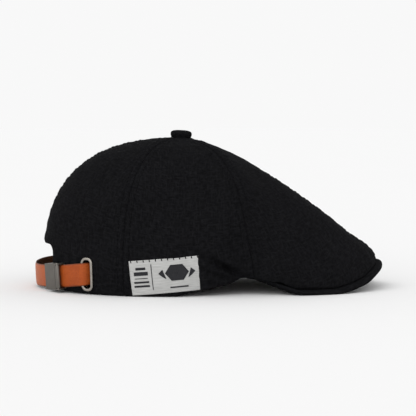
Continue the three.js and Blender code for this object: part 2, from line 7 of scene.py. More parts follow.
import bmesh
import bpy
import numpy as np
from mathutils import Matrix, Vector


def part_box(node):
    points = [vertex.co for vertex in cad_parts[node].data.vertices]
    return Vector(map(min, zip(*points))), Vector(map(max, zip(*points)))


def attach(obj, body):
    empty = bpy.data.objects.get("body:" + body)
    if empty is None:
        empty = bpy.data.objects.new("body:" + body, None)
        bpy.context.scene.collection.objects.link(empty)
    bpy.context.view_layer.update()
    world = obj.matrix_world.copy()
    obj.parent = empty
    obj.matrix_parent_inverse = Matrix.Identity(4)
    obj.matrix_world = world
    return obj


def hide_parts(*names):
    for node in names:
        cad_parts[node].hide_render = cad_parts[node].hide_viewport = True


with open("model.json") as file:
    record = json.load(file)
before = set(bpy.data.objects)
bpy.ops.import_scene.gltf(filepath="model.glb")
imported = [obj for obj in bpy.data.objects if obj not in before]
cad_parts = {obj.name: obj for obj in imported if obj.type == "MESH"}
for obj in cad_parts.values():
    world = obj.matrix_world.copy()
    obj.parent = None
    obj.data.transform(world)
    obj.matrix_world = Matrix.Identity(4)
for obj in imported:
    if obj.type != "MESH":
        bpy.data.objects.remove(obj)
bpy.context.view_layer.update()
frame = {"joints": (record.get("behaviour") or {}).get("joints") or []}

MM = 0.001
BODY = "cap"
LEVER_BODY = "clasp_lever"

# ---- The cap's surface, in millimetres: the CAD part's formulas ----
# CLOTH and HEM_LIFT differ from the CAD's on purpose. The hem comes further down at the peak's ends, to close
# a gap there. Tables are keyed by azimuth in degrees, 0 at the front and 180 at the back.
BUTTON_X = -23.5
CROWN_TOP = 124.5
HEAD_X, HEAD_LENGTH, HEAD_WIDTH = -34, 104, 80
PEAK_X, PEAK_REACH, PEAK_WIDTH, PEAK_SQUARENESS = 28, 117, 76, 2.4
PEAK_BORDER = 4.5
NOTCH, NOTCH_BLEND = 52, 14
NOTCH_SEAM_BOW = 3.2
SEAM_FRONT, SEAM_NOTCH, SEAM_SIDE, SEAM_BACK = 0, 49.5, 120, 180
ARCH_HALF_WIDTH, ARCH_TOP, ARCH_CORNER = 36.5, 37.5, 8
CLOTH = 1.7
EDGE_HEIGHT = [
    [0, 19.5], [10, 15], [18, 6.5], [27, 1.2], [36, 1.5], [43, 9.5], [48, 12.8],
    [53, 13.4], [60, 9.7], [67, 7.2], [76, 5], [83, 3.5], [91, 0.4], [98, 0], [114, 0], [150, 1.2], [180, 2],
]
HEM_LIFT = [[0, 3.4], [40.3, 3.4], [43.5, 0.8], [46.5, 0], [180, 0]]
MERIDIAN_HANDLES = [
    [0, 46, 118.4, -38, 62], [25, 55, 119.6, -27.5, 69], [50, 66, 121, 10, 70], [62, 64, 121.5, 14, 70],
    [90, 62, 122.5, 11, 72], [120, 68, 124, 8, 80], [180, 84.5, 125, 7, 84.5],
]
NOSE_ROLL = [[0, 2.8], [30, 2.6], [46, 1.2], [56, 0], [180, 0]]
NOSE_ROLL_START = 0.8
PEAK_THICKNESS = [[0, 3.9], [36, 3.9], [44, 3], [54, 3]]
PEAK_TOP_LIFT = [[0, 2.9], [38, 2.9], [43, 2.6], [54, 2.7]]
FOREHEAD_HEIGHT = [[0, 30], [25, 26], [50, 17.5]]
PEAK_TUCK_FROM, PEAK_TUCK_TO, PEAK_TUCK_INSET = 37, 43, 3.8
PEAK_END = 49.5
PEAK_OUTLINE_TO = 80  # degrees: the peak's outline isn't used further round
PEAK_SEARCH = 20.0, 260.0  # between these distances its outline is looked for
BAND_INSET = 4
FAR = 99.0  # stands for no edge nearby

# The CAD part is centred on its whole box, so its plane of symmetry is a little off y = 0.
PEAK_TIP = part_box("peak_upper_cover")[1].x / MM
SHIFT = np.array([
    PEAK_TIP - (PEAK_X + PEAK_REACH),
    (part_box("crown_front_panel_right")[0].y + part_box("crown_front_panel_left")[1].y) / 2 / MM,
    0,
])


def fold(azimuth):
    """Azimuth in degrees folded to 0 at the front and 180 at the back."""
    return np.abs((np.asarray(azimuth, float) + 180) % 360 - 180)


def ease(t):
    t = np.clip(t, 0, 1)
    return t * t * (3 - 2 * t)


def keyed(table, key):
    """Monotone cubic interpolation in a table whose rows begin with the key: one array per other column."""
    rows = np.array(table, float)
    keys, values = rows[:, 0], rows[:, 1:]
    steps = np.diff(keys)
    rises = np.diff(values, axis=0) / steps[:, None]
    slopes = np.zeros_like(values)
    for i in range(1, len(keys) - 1):
        before, after = rises[i - 1], rises[i]
        near, far = 2 * steps[i] + steps[i - 1], steps[i] + 2 * steps[i - 1]
        same = before * after > 0
        safe_before, safe_after = np.where(same, before, 1), np.where(same, after, 1)
        slopes[i] = np.where(same, (near + far) / (near / safe_before + far / safe_after), 0)
    x = np.clip(key, keys[0], keys[-1])
    i = np.clip(np.searchsorted(keys, x, side="right") - 1, 0, len(keys) - 2)
    h = steps[i]
    t = ((x - keys[i]) / h)[..., None]
    h = h[..., None]
    out = (values[i] * (1 + 2 * t) * (1 - t) ** 2 + values[i + 1] * t * t * (3 - 2 * t)
           + h * (slopes[i] * t * (1 - t) ** 2 - slopes[i + 1] * t * t * (1 - t)))
    return [out[..., k] for k in range(values.shape[1])]


def head_reach(azimuth):
    """Distance from the button's axis to the head oval."""
    c, s = np.cos(np.radians(azimuth)), np.sin(np.radians(azimuth))
    a = (c / HEAD_LENGTH) ** 2 + (s / HEAD_WIDTH) ** 2
    b = (BUTTON_X - HEAD_X) * c / HEAD_LENGTH ** 2
    k = ((BUTTON_X - HEAD_X) / HEAD_LENGTH) ** 2 - 1
    return (-b + np.sqrt(b * b - a * k)) / a


def peak_reach(azimuth, inset=0):
    """Distance from the button's axis to the peak's outline."""
    c, s = np.cos(np.radians(azimuth)), np.abs(np.sin(np.radians(azimuth)))
    low, high = (np.full_like(c, reach) for reach in PEAK_SEARCH)
    for _ in range(40):
        r = (low + high) / 2
        along = np.maximum(BUTTON_X + r * c - PEAK_X, 0) / (PEAK_REACH - inset)
        outside = along ** PEAK_SQUARENESS + (r * s / (PEAK_WIDTH - inset)) ** PEAK_SQUARENESS > 1
        low, high = np.where(outside, low, r), np.where(outside, r, high)
    return (low + high) / 2


AROUND = np.linspace(0, 180, 1801)


def around(values):
    """A quick function of azimuth from its values on AROUND."""
    return lambda azimuth: np.interp(fold(azimuth), AROUND, values)


notch_share = ease((AROUND - NOTCH + NOTCH_BLEND / 2) / NOTCH_BLEND)
hem_reach = around((1 - notch_share) * peak_reach(np.minimum(AROUND, PEAK_OUTLINE_TO), PEAK_BORDER)
                   + notch_share * head_reach(AROUND))
edge_height = around(keyed(EDGE_HEIGHT, AROUND)[0])
hem_height = around(keyed(EDGE_HEIGHT, AROUND)[0] + keyed(HEM_LIFT, AROUND)[0])
handles = [around(column) for column in keyed(MERIDIAN_HANDLES, AROUND)]
nose_roll = around(keyed(NOSE_ROLL, AROUND)[0])


def meridian(azimuth, t):
    """Radius and height of the crown at an azimuth and at t, 0 at the button and 1 at the hem."""
    azimuth, t = np.broadcast_arrays(np.asarray(azimuth, float), np.asarray(t, float))
    upper_r, upper_z, lower_r, lower_z = (handle(azimuth) for handle in handles)
    hem = hem_reach(azimuth)
    radii = (np.zeros_like(hem), upper_r, hem + lower_r, hem)
    heights = (np.full_like(hem, CROWN_TOP), upper_z, lower_z, hem_height(azimuth))
    weights = ((1 - t) ** 3, 3 * t * (1 - t) ** 2, 3 * t * t * (1 - t), t ** 3)
    slopes = ((1 - t) ** 2, 2 * t * (1 - t), t * t)
    r = sum(w * p for w, p in zip(weights, radii))
    z = sum(w * p for w, p in zip(weights, heights))
    dr = sum(w * (q - p) for w, p, q in zip(slopes, radii, radii[1:]))
    dz = sum(w * (q - p) for w, p, q in zip(slopes, heights, heights[1:]))
    length = np.hypot(dr, dz)
    along = np.clip((t - NOSE_ROLL_START) / (1 - NOSE_ROLL_START), 0, 1)
    out = nose_roll(azimuth) * np.sin(math.pi * along ** 1.6)
    return r - dz / length * out, z + dr / length * out


def polar(azimuth, radius, height):
    a = np.radians(azimuth)
    return np.stack(np.broadcast_arrays(BUTTON_X + radius * np.cos(a), radius * np.sin(a), height), -1)


def crown(azimuth, t):
    return polar(azimuth, *meridian(azimuth, t))


def unit(vectors):
    return vectors / np.maximum(np.linalg.norm(vectors, axis=-1, keepdims=True), 1e-9)


def crown_normal(azimuth, t):
    step, turn = 0.004, 0.4
    down = crown(azimuth, np.minimum(1, t + step)) - crown(azimuth, np.maximum(0.002, t - step))
    return unit(np.cross(down, crown(azimuth + turn, t) - crown(azimuth - turn, t)))


def t_at_height(azimuth, height):
    azimuth, height = np.broadcast_arrays(np.asarray(azimuth, float), np.asarray(height, float))
    low, high = np.full(height.shape, 0.3), np.ones(height.shape)
    for _ in range(30):
        middle = (low + high) / 2
        below = meridian(azimuth, middle)[1] < height
        low, high = np.where(below, low, middle), np.where(below, middle, high)
    return (low + high) / 2


def on_crown(azimuth, height, out=0.0):
    """The crown's point at a height, moved outward along the normal."""
    t = t_at_height(azimuth, height)
    return crown(azimuth, t) + crown_normal(azimuth, t) * np.asarray(out, float)[..., None]


def seam_at(seam, t):
    """A seam's azimuth at t: the notch seam bows back half-way down."""
    bow = NOTCH_SEAM_BOW * np.sin(math.pi * t ** 1.7) if fold(seam) == SEAM_NOTCH else 0 * t
    return seam + bow * np.sign(seam)


# ---- Mesh making ----
def link(name, data):
    piece = bpy.data.objects.new(name, data)
    bpy.context.scene.collection.objects.link(piece)
    return piece


def mesh_piece(name, points, faces, uv=None, attributes=None, smooth=True):
    """A mesh from points in millimetres in the cap's own frame. uv is per point, in metres."""
    mesh = bpy.data.meshes.new(name)
    mesh.from_pydata(((np.asarray(points) + SHIFT) * MM).tolist(), [], [tuple(map(int, f)) for f in faces])
    corners = np.zeros(len(mesh.loops), int)
    mesh.loops.foreach_get("vertex_index", corners)
    if uv is not None:
        layer = mesh.uv_layers.new(name="cloth")
        layer.data.foreach_set("uv", np.asarray(uv)[corners].ravel())
    for key, values in (attributes or {}).items():
        layer = mesh.attributes.new(key, "FLOAT", "POINT")
        layer.data.foreach_set("value", np.asarray(values, float).ravel())
    tidy = bmesh.new()
    tidy.from_mesh(mesh)
    bmesh.ops.recalc_face_normals(tidy, faces=tidy.faces)
    if tidy.calc_volume(signed=True) < 0:
        bmesh.ops.reverse_faces(tidy, faces=tidy.faces)
    tidy.to_mesh(mesh)
    tidy.free()
    mesh.polygons.foreach_set("use_smooth", [smooth] * len(mesh.polygons))
    return link(name, mesh)


def travelled(path):
    """The length along a path at each of its points, from 0."""
    return np.concatenate([[0], np.cumsum(np.linalg.norm(np.diff(path, axis=0), axis=1))])


def uv_grid(along, across):
    """uv in metres for rings at the lengths along, whose points are at the lengths across."""
    return np.stack(np.broadcast_arrays(along[:, None], across[None, :]), -1).reshape(-1, 2) * MM


def moved(points, normals, distance):
    return points + normals * distance[..., None]


def grid_faces(rows, columns, start=0, closed=False):
    """Quads of a grid of rows x columns points; closed joins the last column to the first."""
    i, j = np.meshgrid(np.arange(rows - 1), np.arange(columns if closed else columns - 1), indexing="ij")
    k = (j + 1) % columns
    corners = (i * columns + j, i * columns + k, (i + 1) * columns + k, (i + 1) * columns + j)
    return np.stack(corners, -1).reshape(-1, 4) + start


def closed_sheet(name, outer, inner, faces, uv=None, smooth=True):
    """A sheet with the same faces on its outer and inner points, and walls round its free edges."""
    count, sides = len(outer), faces.shape[1]
    edges = np.concatenate([faces[:, [k, (k + 1) % sides]] for k in range(sides)])
    _, where, times = np.unique(np.sort(edges, axis=1), axis=0, return_index=True, return_counts=True)
    rim = edges[where[times == 1]]
    walls = np.stack([rim[:, 1], rim[:, 0], rim[:, 0] + count, rim[:, 1] + count], -1)
    skin = [*faces, *(faces[:, ::-1] + count), *walls]
    return mesh_piece(name, np.concatenate([outer, inner]), skin, uv, smooth=smooth)


def shell(name, blocks, lined=False):
    """A closed sheet from blocks of (outer points, inner points, uv), each a grid.

    Blocks that share an edge are joined. The inner faces of a lined shell take its second material.
    """
    outer, inner = (np.concatenate([block[k].reshape(-1, 3) for block in blocks]) for k in (0, 1))
    uv = np.concatenate([block[2].reshape(-1, 2) for block in blocks])
    faces, start = [], 0
    for block in blocks:
        rows, columns = block[0].shape[:2]
        faces.append(grid_faces(rows, columns, start))
        start += rows * columns
    _, first, same = np.unique(np.round(outer, 3), axis=0, return_index=True, return_inverse=True)
    faces = same.reshape(-1)[np.concatenate(faces)]
    uv = uv[first]
    piece = closed_sheet(name, outer[first], inner[first], faces, np.concatenate([uv, uv]) * MM)
    if lined:
        slots = np.zeros(len(piece.data.polygons), int)
        slots[len(faces):2 * len(faces)] = 1
        piece.data.polygons.foreach_set("material_index", slots)
    return piece


def tube(name, sections, closed_path=False, uv=None, attributes=None):
    """A closed skin of equal rings: sections is (steps, points round, 3)."""
    steps, ring = sections.shape[:2]
    faces = list(grid_faces(steps, ring, closed=True))
    if closed_path:
        last = (steps - 1) * ring
        faces += [(last + k, last + (k + 1) % ring, (k + 1) % ring, k) for k in range(ring)]
    else:
        faces += [tuple(range(ring)), tuple(range(steps * ring - 1, (steps - 1) * ring - 1, -1))]
    return mesh_piece(name, sections.reshape(-1, 3), faces, uv, attributes)


RIPPLE_SHARE = 0.9  # keeps most of the field between -1 and 1


def ripples(points, wavelength, seed, waves=9):
    """A smooth random field, about -1 to 1, from plane waves."""
    draw = np.random.default_rng(seed)
    directions = unit(draw.normal(size=(waves, 3)))
    turns = 2 * math.pi / (wavelength * draw.uniform(0.7, 1.5, waves))
    phases = draw.uniform(0, 2 * math.pi, waves)
    total = sum(np.sin(points @ d * k + p) for d, k, p in zip(directions, turns, phases))
    return total / math.sqrt(waves) * RIPPLE_SHARE


def bump(distance, width):
    return np.exp(-(distance / width) ** 2)


# ---- Sewn relief of the crown: heights in millimetres above the plain surface ----
STITCH_PITCH = 3.3
SEAM_STITCH = 4.8  # distance of the topstitching from a seam
ARCH_STITCH = 6
SEAM_VALLEY, SEAM_VALLEY_WIDTH = 0.7, 0.8
SEAM_RIDGE, SEAM_RIDGE_FROM, SEAM_RIDGE_TO = 0.16, 0.6, 7
STITCH_DIMPLE, STITCH_DIMPLE_WIDTH = 0.14, 0.6
GATHER, GATHER_LENGTH, GATHER_AT, GATHER_WIDTH = 0.24, 11, 7, 6.5
PUCKER, PUCKER_LENGTH, PUCKER_AT, PUCKER_WIDTH = 0.28, 4.3, 3.2, 3.6


def seam_relief(across, along, seed):
    """A pressed seam: its valley, the allowance's ridge, dimpled topstitching, and long and short puckers."""
    pinch = 0.7 + 0.3 * np.cos(2 * math.pi * along / STITCH_PITCH)
    ridge = ease((across - SEAM_RIDGE_FROM) / 1.2) * ease((SEAM_RIDGE_TO - across) / 2.2)
    gather = np.sin(2 * math.pi * along / GATHER_LENGTH + 1.5 * np.sin(along / 17 + seed) + seed)
    pucker = np.sin(2 * math.pi * along / PUCKER_LENGTH + 2.2 * np.sin(along / 9 + 2 * seed))
    pucker = pucker * (0.6 + 0.4 * np.sin(along / 13))
    return (-SEAM_VALLEY * bump(across, SEAM_VALLEY_WIDTH) + SEAM_RIDGE * ridge
            - STITCH_DIMPLE * pinch * bump(across - SEAM_STITCH, STITCH_DIMPLE_WIDTH)
            + GATHER * gather * bump(across - GATHER_AT, GATHER_WIDTH)
            + PUCKER * pucker * bump(across - PUCKER_AT, PUCKER_WIDTH))


def fold_relief(points, start, end, depth, width):
    """A soft crease in the side view from start to end, each (x, z); it's deepest at its start."""
    start, end = np.array(start, float), np.array(end, float)
    side = points[..., [0, 2]] - start
    line = end - start
    length = np.linalg.norm(line)
    along = side @ line / length ** 2
    across = (side[..., 1] * line[0] - side[..., 0] * line[1]) / length
    reach = ease(along / 0.18 + 0.4) * ease((1 - along) / 0.75)
    reach = np.where(along > 1, 0, reach)
    swell = bump(across - 1.9 * width, 1.5 * width) + 0.7 * bump(across + 1.8 * width, 1.4 * width)
    return depth * reach * (0.6 * swell - bump(across, width))


# Per side of the cap, each fold's start, end, depth and width: two creases that run up and back from the
# notch, and slack in the rear panel.
FOLDS = {
    -1: [((31, 12), (-14, 37), 7.4, 2.8), ((20, 12), (-14, 25), 4.2, 2.3), ((-104, 98), (-70, 68), 1.7, 6.5)],
    1: [((31, 12), (-8, 39), 5.2, 3.3), ((22, 12), (-6, 26), 2.8, 2.5), ((-98, 92), (-66, 70), 1.5, 6)],
}


SLACK_WAVES = (0.55, 46, 11), (0.22, 19, 12)  # each one's height, wavelength and seed
SLACK_BELOW, SLACK_OVER = 70, 60  # it grows over this much height below this level


def cloth_relief(points, side):
    """Slackness of the cloth away from its seams."""
    height = sum(tall * ripples(points, wavelength, seed) for tall, wavelength, seed in SLACK_WAVES)
    lower = ease((SLACK_BELOW - points[..., 2]) / SLACK_OVER)
    height = height * (0.55 + 0.6 * lower)
    for start, end, depth, width in FOLDS[side]:
        height = height + fold_relief(points, start, end, depth, width)
    return height


def arch_distance(points):
    """Distance outside the rear opening's outline, seen from behind."""
    y = np.abs(points[..., 1]) - (ARCH_HALF_WIDTH - ARCH_CORNER)
    z = points[..., 2] - (ARCH_TOP - ARCH_CORNER)
    inside = np.minimum(np.maximum(y, z), 0)
    distance = np.hypot(np.maximum(y, 0), np.maximum(z, 0)) + inside - ARCH_CORNER
    return np.where(points[..., 0] < HEAD_X, distance, FAR)


FADE_SEAM, FADE_HEM, FADE_TOP, FADE_ARCH = 14, 12, 20, 12  # over these lengths the slack dies out at an edge
PILLOW, PILLOW_TOP, PILLOW_HEM = 0.7, 60, 40  # a panel's swell, and where it sets in from its top and hem
TURN_RAISE, TURN_HEM, TURN_ARCH, TURN_STEP = 0.3, 9, 8, 2  # the turned-up allowance stands out by this much
HEM_GATHER, HEM_GATHER_LENGTH, HEM_GATHER_WIDTH = 0.22, 13, 6
ARCH_VALLEY, ARCH_VALLEY_WIDTH = 0.3, 0.6  # the row of stitches round the rear opening
EDGE_ROUND, EDGE_ROUND_INNER, EDGE_ROUND_WIDTH = 0.75, 0.5, 0.8
SEAM_PINCH_INNER, SEAM_PINCH_INNER_WIDTH = 0.25, 1.2
SEED_STEP = 2.3  # so that a panel's two seams differ
TABLE_ROWS, TABLE_COLUMNS = 121, 61  # of the tables that a panel's lengths are looked up in


class Panel:
    """One crown panel between two seams: its measures, relief and points."""

    def __init__(self, side, seam_a, seam_b, seed):
        self.side, self.seed = side, seed
        self.seams = (side * seam_a, side * seam_b)
        self.has_arch = seam_b == SEAM_BACK
        t, u = np.meshgrid(np.linspace(0, 1, TABLE_ROWS), np.linspace(0, 1, TABLE_COLUMNS), indexing="ij")
        points = crown(self.azimuth(u, t), np.maximum(t, 1e-4))
        steps = np.linalg.norm(np.diff(points, axis=1), axis=-1)
        self.across = np.pad(np.cumsum(steps, axis=1), ((0, 0), (1, 0)))
        steps = np.linalg.norm(np.diff(points, axis=0), axis=-1)
        self.down = np.pad(np.cumsum(steps, axis=0), ((1, 0), (0, 0)))

    def azimuth(self, u, t):
        from_a, to_b = seam_at(self.seams[0], t), seam_at(self.seams[1], t)
        return from_a + (to_b - from_a) * u

    def share(self, azimuth, t):
        from_a, to_b = seam_at(self.seams[0], t), seam_at(self.seams[1], t)
        return (azimuth - from_a) / (to_b - from_a)

    def measure(self, table, u, t):
        """Bilinear look-up in a table of rows (t) by columns (u)."""
        i, j = np.clip(t, 0, 1) * (table.shape[0] - 1), np.clip(u, 0, 1) * (table.shape[1] - 1)
        i0 = np.minimum(i.astype(int), table.shape[0] - 2)
        j0 = np.minimum(j.astype(int), table.shape[1] - 2)
        p, q = i - i0, j - j0
        return ((table[i0, j0] * (1 - q) + table[i0, j0 + 1] * q) * (1 - p)
                + (table[i0 + 1, j0] * (1 - q) + table[i0 + 1, j0 + 1] * q) * p)

    def surface(self, azimuth, t):
        """Outer points, inner points and uv of the sewn cloth."""
        u = self.share(azimuth, t)
        plain, normal = crown(azimuth, t), crown_normal(azimuth, t)
        from_a = self.measure(self.across, u, t)
        width = self.measure(self.across, np.ones_like(u), t)
        down = self.measure(self.down, u, t)
        from_hem = self.measure(self.down, u, np.ones_like(t)) - down
        from_b = width - from_a
        arch = arch_distance(plain) if self.has_arch else np.full_like(u, FAR)
        seam = np.minimum(from_a, from_b)
        edge = np.minimum(from_hem, arch)
        free = (ease(seam / FADE_SEAM) * ease(from_hem / FADE_HEM) * ease(down / FADE_TOP)
                * ease(arch / FADE_ARCH))
        pillow = (PILLOW * np.sin(math.pi * np.clip(u, 0, 1)) * ease(down / PILLOW_TOP)
                  * ease(from_hem / PILLOW_HEM))
        height = (cloth_relief(plain, self.side) * (0.25 + 0.75 * free) + pillow
                  + seam_relief(from_a, down, self.seed) + seam_relief(from_b, down, self.seed + SEED_STEP))
        gather = np.sin(2 * math.pi * from_a / HEM_GATHER_LENGTH + 1.3 * np.sin(from_a / 21 + self.seed))
        height += TURN_RAISE * ease((TURN_HEM - from_hem) / TURN_STEP)
        height += HEM_GATHER * gather * bump(from_hem - TURN_HEM, HEM_GATHER_WIDTH)
        height += (TURN_RAISE * ease((TURN_ARCH - arch) / TURN_STEP)
                   - ARCH_VALLEY * bump(arch - ARCH_STITCH, ARCH_VALLEY_WIDTH))
        height -= EDGE_ROUND * bump(edge, EDGE_ROUND_WIDTH)
        inner = (-CLOTH + EDGE_ROUND_INNER * bump(edge, EDGE_ROUND_WIDTH)
                 + SEAM_PINCH_INNER * bump(seam, SEAM_PINCH_INNER_WIDTH) + 0.5 * (height - TURN_RAISE) * free)
        uv = np.stack([from_a - width / 2, -down], -1)
        return moved(plain, normal, height), moved(plain, normal, inner), uv


TOP_HOLE = 2.6  # radius left open under the button
ROW_CROWDING = 1.25  # above 1, a grid's rows lie closer together near the hem
ARCH_SIDE_GUESS = 163.0  # degrees: about where the rear opening's upright sides are


def first_t(azimuth):
    """t at the edge of the hole under the button."""
    return TOP_HOLE / (3 * handles[0](azimuth))


def uneven(count):
    """Shares from 0 to 1, closer together near both ends, where the seams are."""
    w = np.linspace(0, 1, count)
    return 0.45 * w + 0.55 * (0.5 - 0.5 * np.cos(math.pi * w))


def plain_blocks(panel, columns, rows):
    u, v = np.meshgrid(uneven(columns), np.linspace(0, 1, rows))
    start = first_t(panel.azimuth(u, np.full_like(u, 0.02)))
    t = start + (1 - start) * (1 - (1 - v) ** ROW_CROWDING)
    return [panel.surface(panel.azimuth(u, t), t)]


def arch_t(azimuth):
    """t where each meridian meets the rear opening's outline."""
    t = t_at_height(azimuth, ARCH_TOP)
    for _ in range(12):
        y = np.abs(meridian(azimuth, t)[0] * np.sin(np.radians(azimuth)))
        beyond = np.clip(y - (ARCH_HALF_WIDTH - ARCH_CORNER), 0, ARCH_CORNER)
        height = ARCH_TOP - ARCH_CORNER + np.sqrt(ARCH_CORNER ** 2 - beyond ** 2)
        t = t_at_height(azimuth, height)
    return t


def arch_side_azimuth(t, side):
    """Azimuth of the rear opening's upright side at t."""
    azimuth = np.full_like(t, ARCH_SIDE_GUESS)
    for _ in range(12):
        azimuth = 180 - np.degrees(np.arcsin(ARCH_HALF_WIDTH / meridian(azimuth, t)[0]))
    return side * azimuth


def rear_blocks(panel, columns, rows, low_rows):
    """The rear panel as three grids: beside the opening above and below its corner, and above the opening."""
    side = panel.side
    split = t_at_height(side * ARCH_SIDE_GUESS, ARCH_TOP - ARCH_CORNER)
    corner = arch_side_azimuth(np.array([float(split)]), side)[0]
    split = float(t_at_height(corner, ARCH_TOP - ARCH_CORNER))
    corner = arch_side_azimuth(np.array([split]), side)[0]
    start = first_t(side * (SEAM_SIDE + SEAM_BACK) / 2)

    def block(levels, t_from, t_to, edge_at):
        w, v = np.meshgrid(uneven(columns), levels)
        t = t_from + (t_to - t_from) * v
        from_seam = seam_at(panel.seams[0], t)
        return panel.surface(from_seam + (edge_at(t) - from_seam) * w, t)

    beside = block(np.linspace(0, 1, rows), start, split, lambda t: corner)
    below = block(1 - (1 - np.linspace(0, 1, low_rows)) ** ROW_CROWDING, split, 1,
                  lambda t: arch_side_azimuth(t, side))
    w, v = np.meshgrid(uneven(columns // 2), np.linspace(0, 1, rows))
    azimuth = corner + (side * SEAM_BACK - corner) * w
    bottom = arch_t(azimuth)
    bottom[:, 0] = split
    above = panel.surface(azimuth, start + (bottom - start) * v)
    return [beside, below, above]


# ---- Stitches ----
STITCH_RINGS, STITCH_SIDES = 7, 6


def stitches(name, path, normals, pitch=STITCH_PITCH, length=2.5, radius=0.26, lift=0.0):
    """A row of short rounded threads along a path; their ends dip into the cloth."""
    lengths = travelled(path)
    count = int(lengths[-1] // pitch)
    middles = (np.arange(count) + 0.5) * pitch + (lengths[-1] - count * pitch) / 2

    def at(values, where):
        return np.stack([np.interp(where, lengths, values[:, k]) for k in range(3)], -1)

    rings = np.linspace(-1, 1, STITCH_RINGS)
    swell = np.sqrt(np.maximum(1 - np.abs(rings) ** 3, 0.02))
    turn = 2 * math.pi * np.arange(STITCH_SIDES) / STITCH_SIDES
    dip = (lift - 0.55 * radius * np.abs(rings) ** 2.5)[:, None]
    total = STITCH_RINGS * STITCH_SIDES
    points, faces = [], []
    for middle in middles:
        line = at(path, middle + rings * length / 2)
        up = unit(at(normals, middle + rings * length / 2))
        along = unit(np.gradient(line, axis=0))
        side = unit(np.cross(along, up))
        section = side[:, None] * np.cos(turn)[None, :, None] + up[:, None] * np.sin(turn)[None, :, None]
        skin = (line + up * dip)[:, None] + section * (radius * swell)[:, None, None]
        start = len(points) * total
        faces += list(grid_faces(STITCH_RINGS, STITCH_SIDES, start, closed=True))
        faces += [tuple(start + np.arange(STITCH_SIDES)), tuple(start + total - 1 - np.arange(STITCH_SIDES))]
        points.append(skin.reshape(-1, 3))
    return mesh_piece(name, np.concatenate(points), faces)


def sew(name, path, normals, slot="cloth", **measures):
    """A row of black stitches as a piece of the cap."""
    place(stitches(name, path, normals, **measures), slot, BLACK_THREAD)


def path_beside_seam(panel, which, distance, t_from, t_to, count=160):
    """Points and normals of the cloth at a distance from one of a panel's seams."""
    t = np.linspace(t_from, t_to, count)
    u = np.linspace(0, 1, 121)
    uu, tt = np.meshgrid(u, t)
    across = panel.measure(panel.across, uu, tt)
    if which == 1:
        across = across[:, -1:] - across
        at = np.array([np.interp(distance, row[::-1], u[::-1]) for row in across])
    else:
        at = np.array([np.interp(distance, row, u) for row in across])
    azimuth = panel.azimuth(at, t)
    return panel.surface(azimuth, t)[0], crown_normal(azimuth, t)


# ---- Materials ----
# Colours are linear, scales are turns to a metre, and relief is in metres.
MIX_A, MIX_B, MIX_RESULT = 6, 7, 2  # the mix node's colour sockets


def rgb(red, green, blue):
    return red, green, blue, 1


def grey(level):
    return rgb(level, level, level)


class Nodes:
    """Short calls for building a material's node tree."""

    def __init__(self, name, **surface):
        self.material = bpy.data.materials.new(name)
        self.material.use_nodes = True
        self.tree = self.material.node_tree
        self.shader = self.tree.nodes["Principled BSDF"]
        for socket, value in surface.items():
            self.shader.inputs[socket.replace("_", " ")].default_value = value

    def node(self, kind, settings=None, **inputs):
        made = self.tree.nodes.new("ShaderNode" + kind)
        for key, value in (settings or {}).items():
            setattr(made, key, value)
        for key, value in inputs.items():
            self.put(made.inputs[key.replace("_", " ")], value)
        return made

    def put(self, socket, value):
        if isinstance(value, bpy.types.NodeSocket):
            self.tree.links.new(value, socket)
        else:
            socket.default_value = value

    def math(self, operation, a, b=0.0, clamp=False):
        made = self.node("Math", {"operation": operation, "use_clamp": clamp})
        self.put(made.inputs[0], a)
        self.put(made.inputs[1], b)
        return made.outputs[0]

    def add(self, a, b):
        return self.math("ADD", a, b)

    def times(self, a, b):
        return self.math("MULTIPLY", a, b)

    def sine(self, a):
        return self.math("SINE", a)

    def spread(self, value, low, high, to_low=0.0, to_high=1.0):
        """A value between low and high, moved to between to_low and to_high."""
        made = self.node("MapRange")
        for index, part in enumerate((value, low, high, to_low, to_high)):
            self.put(made.inputs[index], part)
        return made.outputs[0]

    def mix(self, share, a, b):
        made = self.node("Mix", {"data_type": "RGBA"})
        for index, part in ((0, share), (MIX_A, a), (MIX_B, b)):
            self.put(made.inputs[index], part)
        return made.outputs[MIX_RESULT]

    def uv(self):
        return self.node("UVMap", {"uv_map": "cloth"}).outputs[0]

    def place(self):
        return self.node("TexCoord").outputs["Object"]

    def stretched(self, vector, x, y, z=1.0):
        return self.node("Mapping", Vector=vector, Scale=(x, y, z)).outputs[0]

    def noise(self, vector, scale, detail=2.0, roughness=0.5):
        made = self.node("TexNoise", Vector=vector, Scale=scale, Detail=detail, Roughness=roughness)
        return made.outputs["Fac"]

    def streaks(self, vector, scales, detail, roughness=0.5):
        """Noise with a scale of its own along each axis."""
        return self.noise(self.stretched(vector, *scales), 1.0, detail, roughness)

    def attribute(self, name):
        return self.node("Attribute", {"attribute_name": name}).outputs["Fac"]

    def relief(self, *layers):
        """Bumps laid over one another, each (height, distance, strength)."""
        normal = None
        for height, distance, strength in layers:
            made = self.node("Bump", Height=height, Distance=distance, Strength=strength)
            if normal is not None:
                self.put(made.inputs["Normal"], normal)
            normal = made.outputs[0]
        return normal

    def finish(self, colour, roughness, normal=None):
        for socket, value in (("Base Color", colour), ("Roughness", roughness), ("Normal", normal)):
            if value is not None:
                self.put(self.shader.inputs[socket], value)
        return self.material


def weave_height(n, uv, pitch):
    """Over-and-under threads of a plain weave, a pitch apart."""
    split = n.node("SeparateXYZ", Vector=uv)
    wobble = n.times(n.streaks(uv, (260, 260), 3.0), 0.0009)
    x, y = (n.sine(n.times(n.add(split.outputs[k], wobble), math.pi / pitch)) for k in (0, 1))
    threads = n.times(n.math("ABSOLUTE", x), n.math("ABSOLUTE", y))
    return n.add(threads, n.times(n.times(x, y), 0.35))


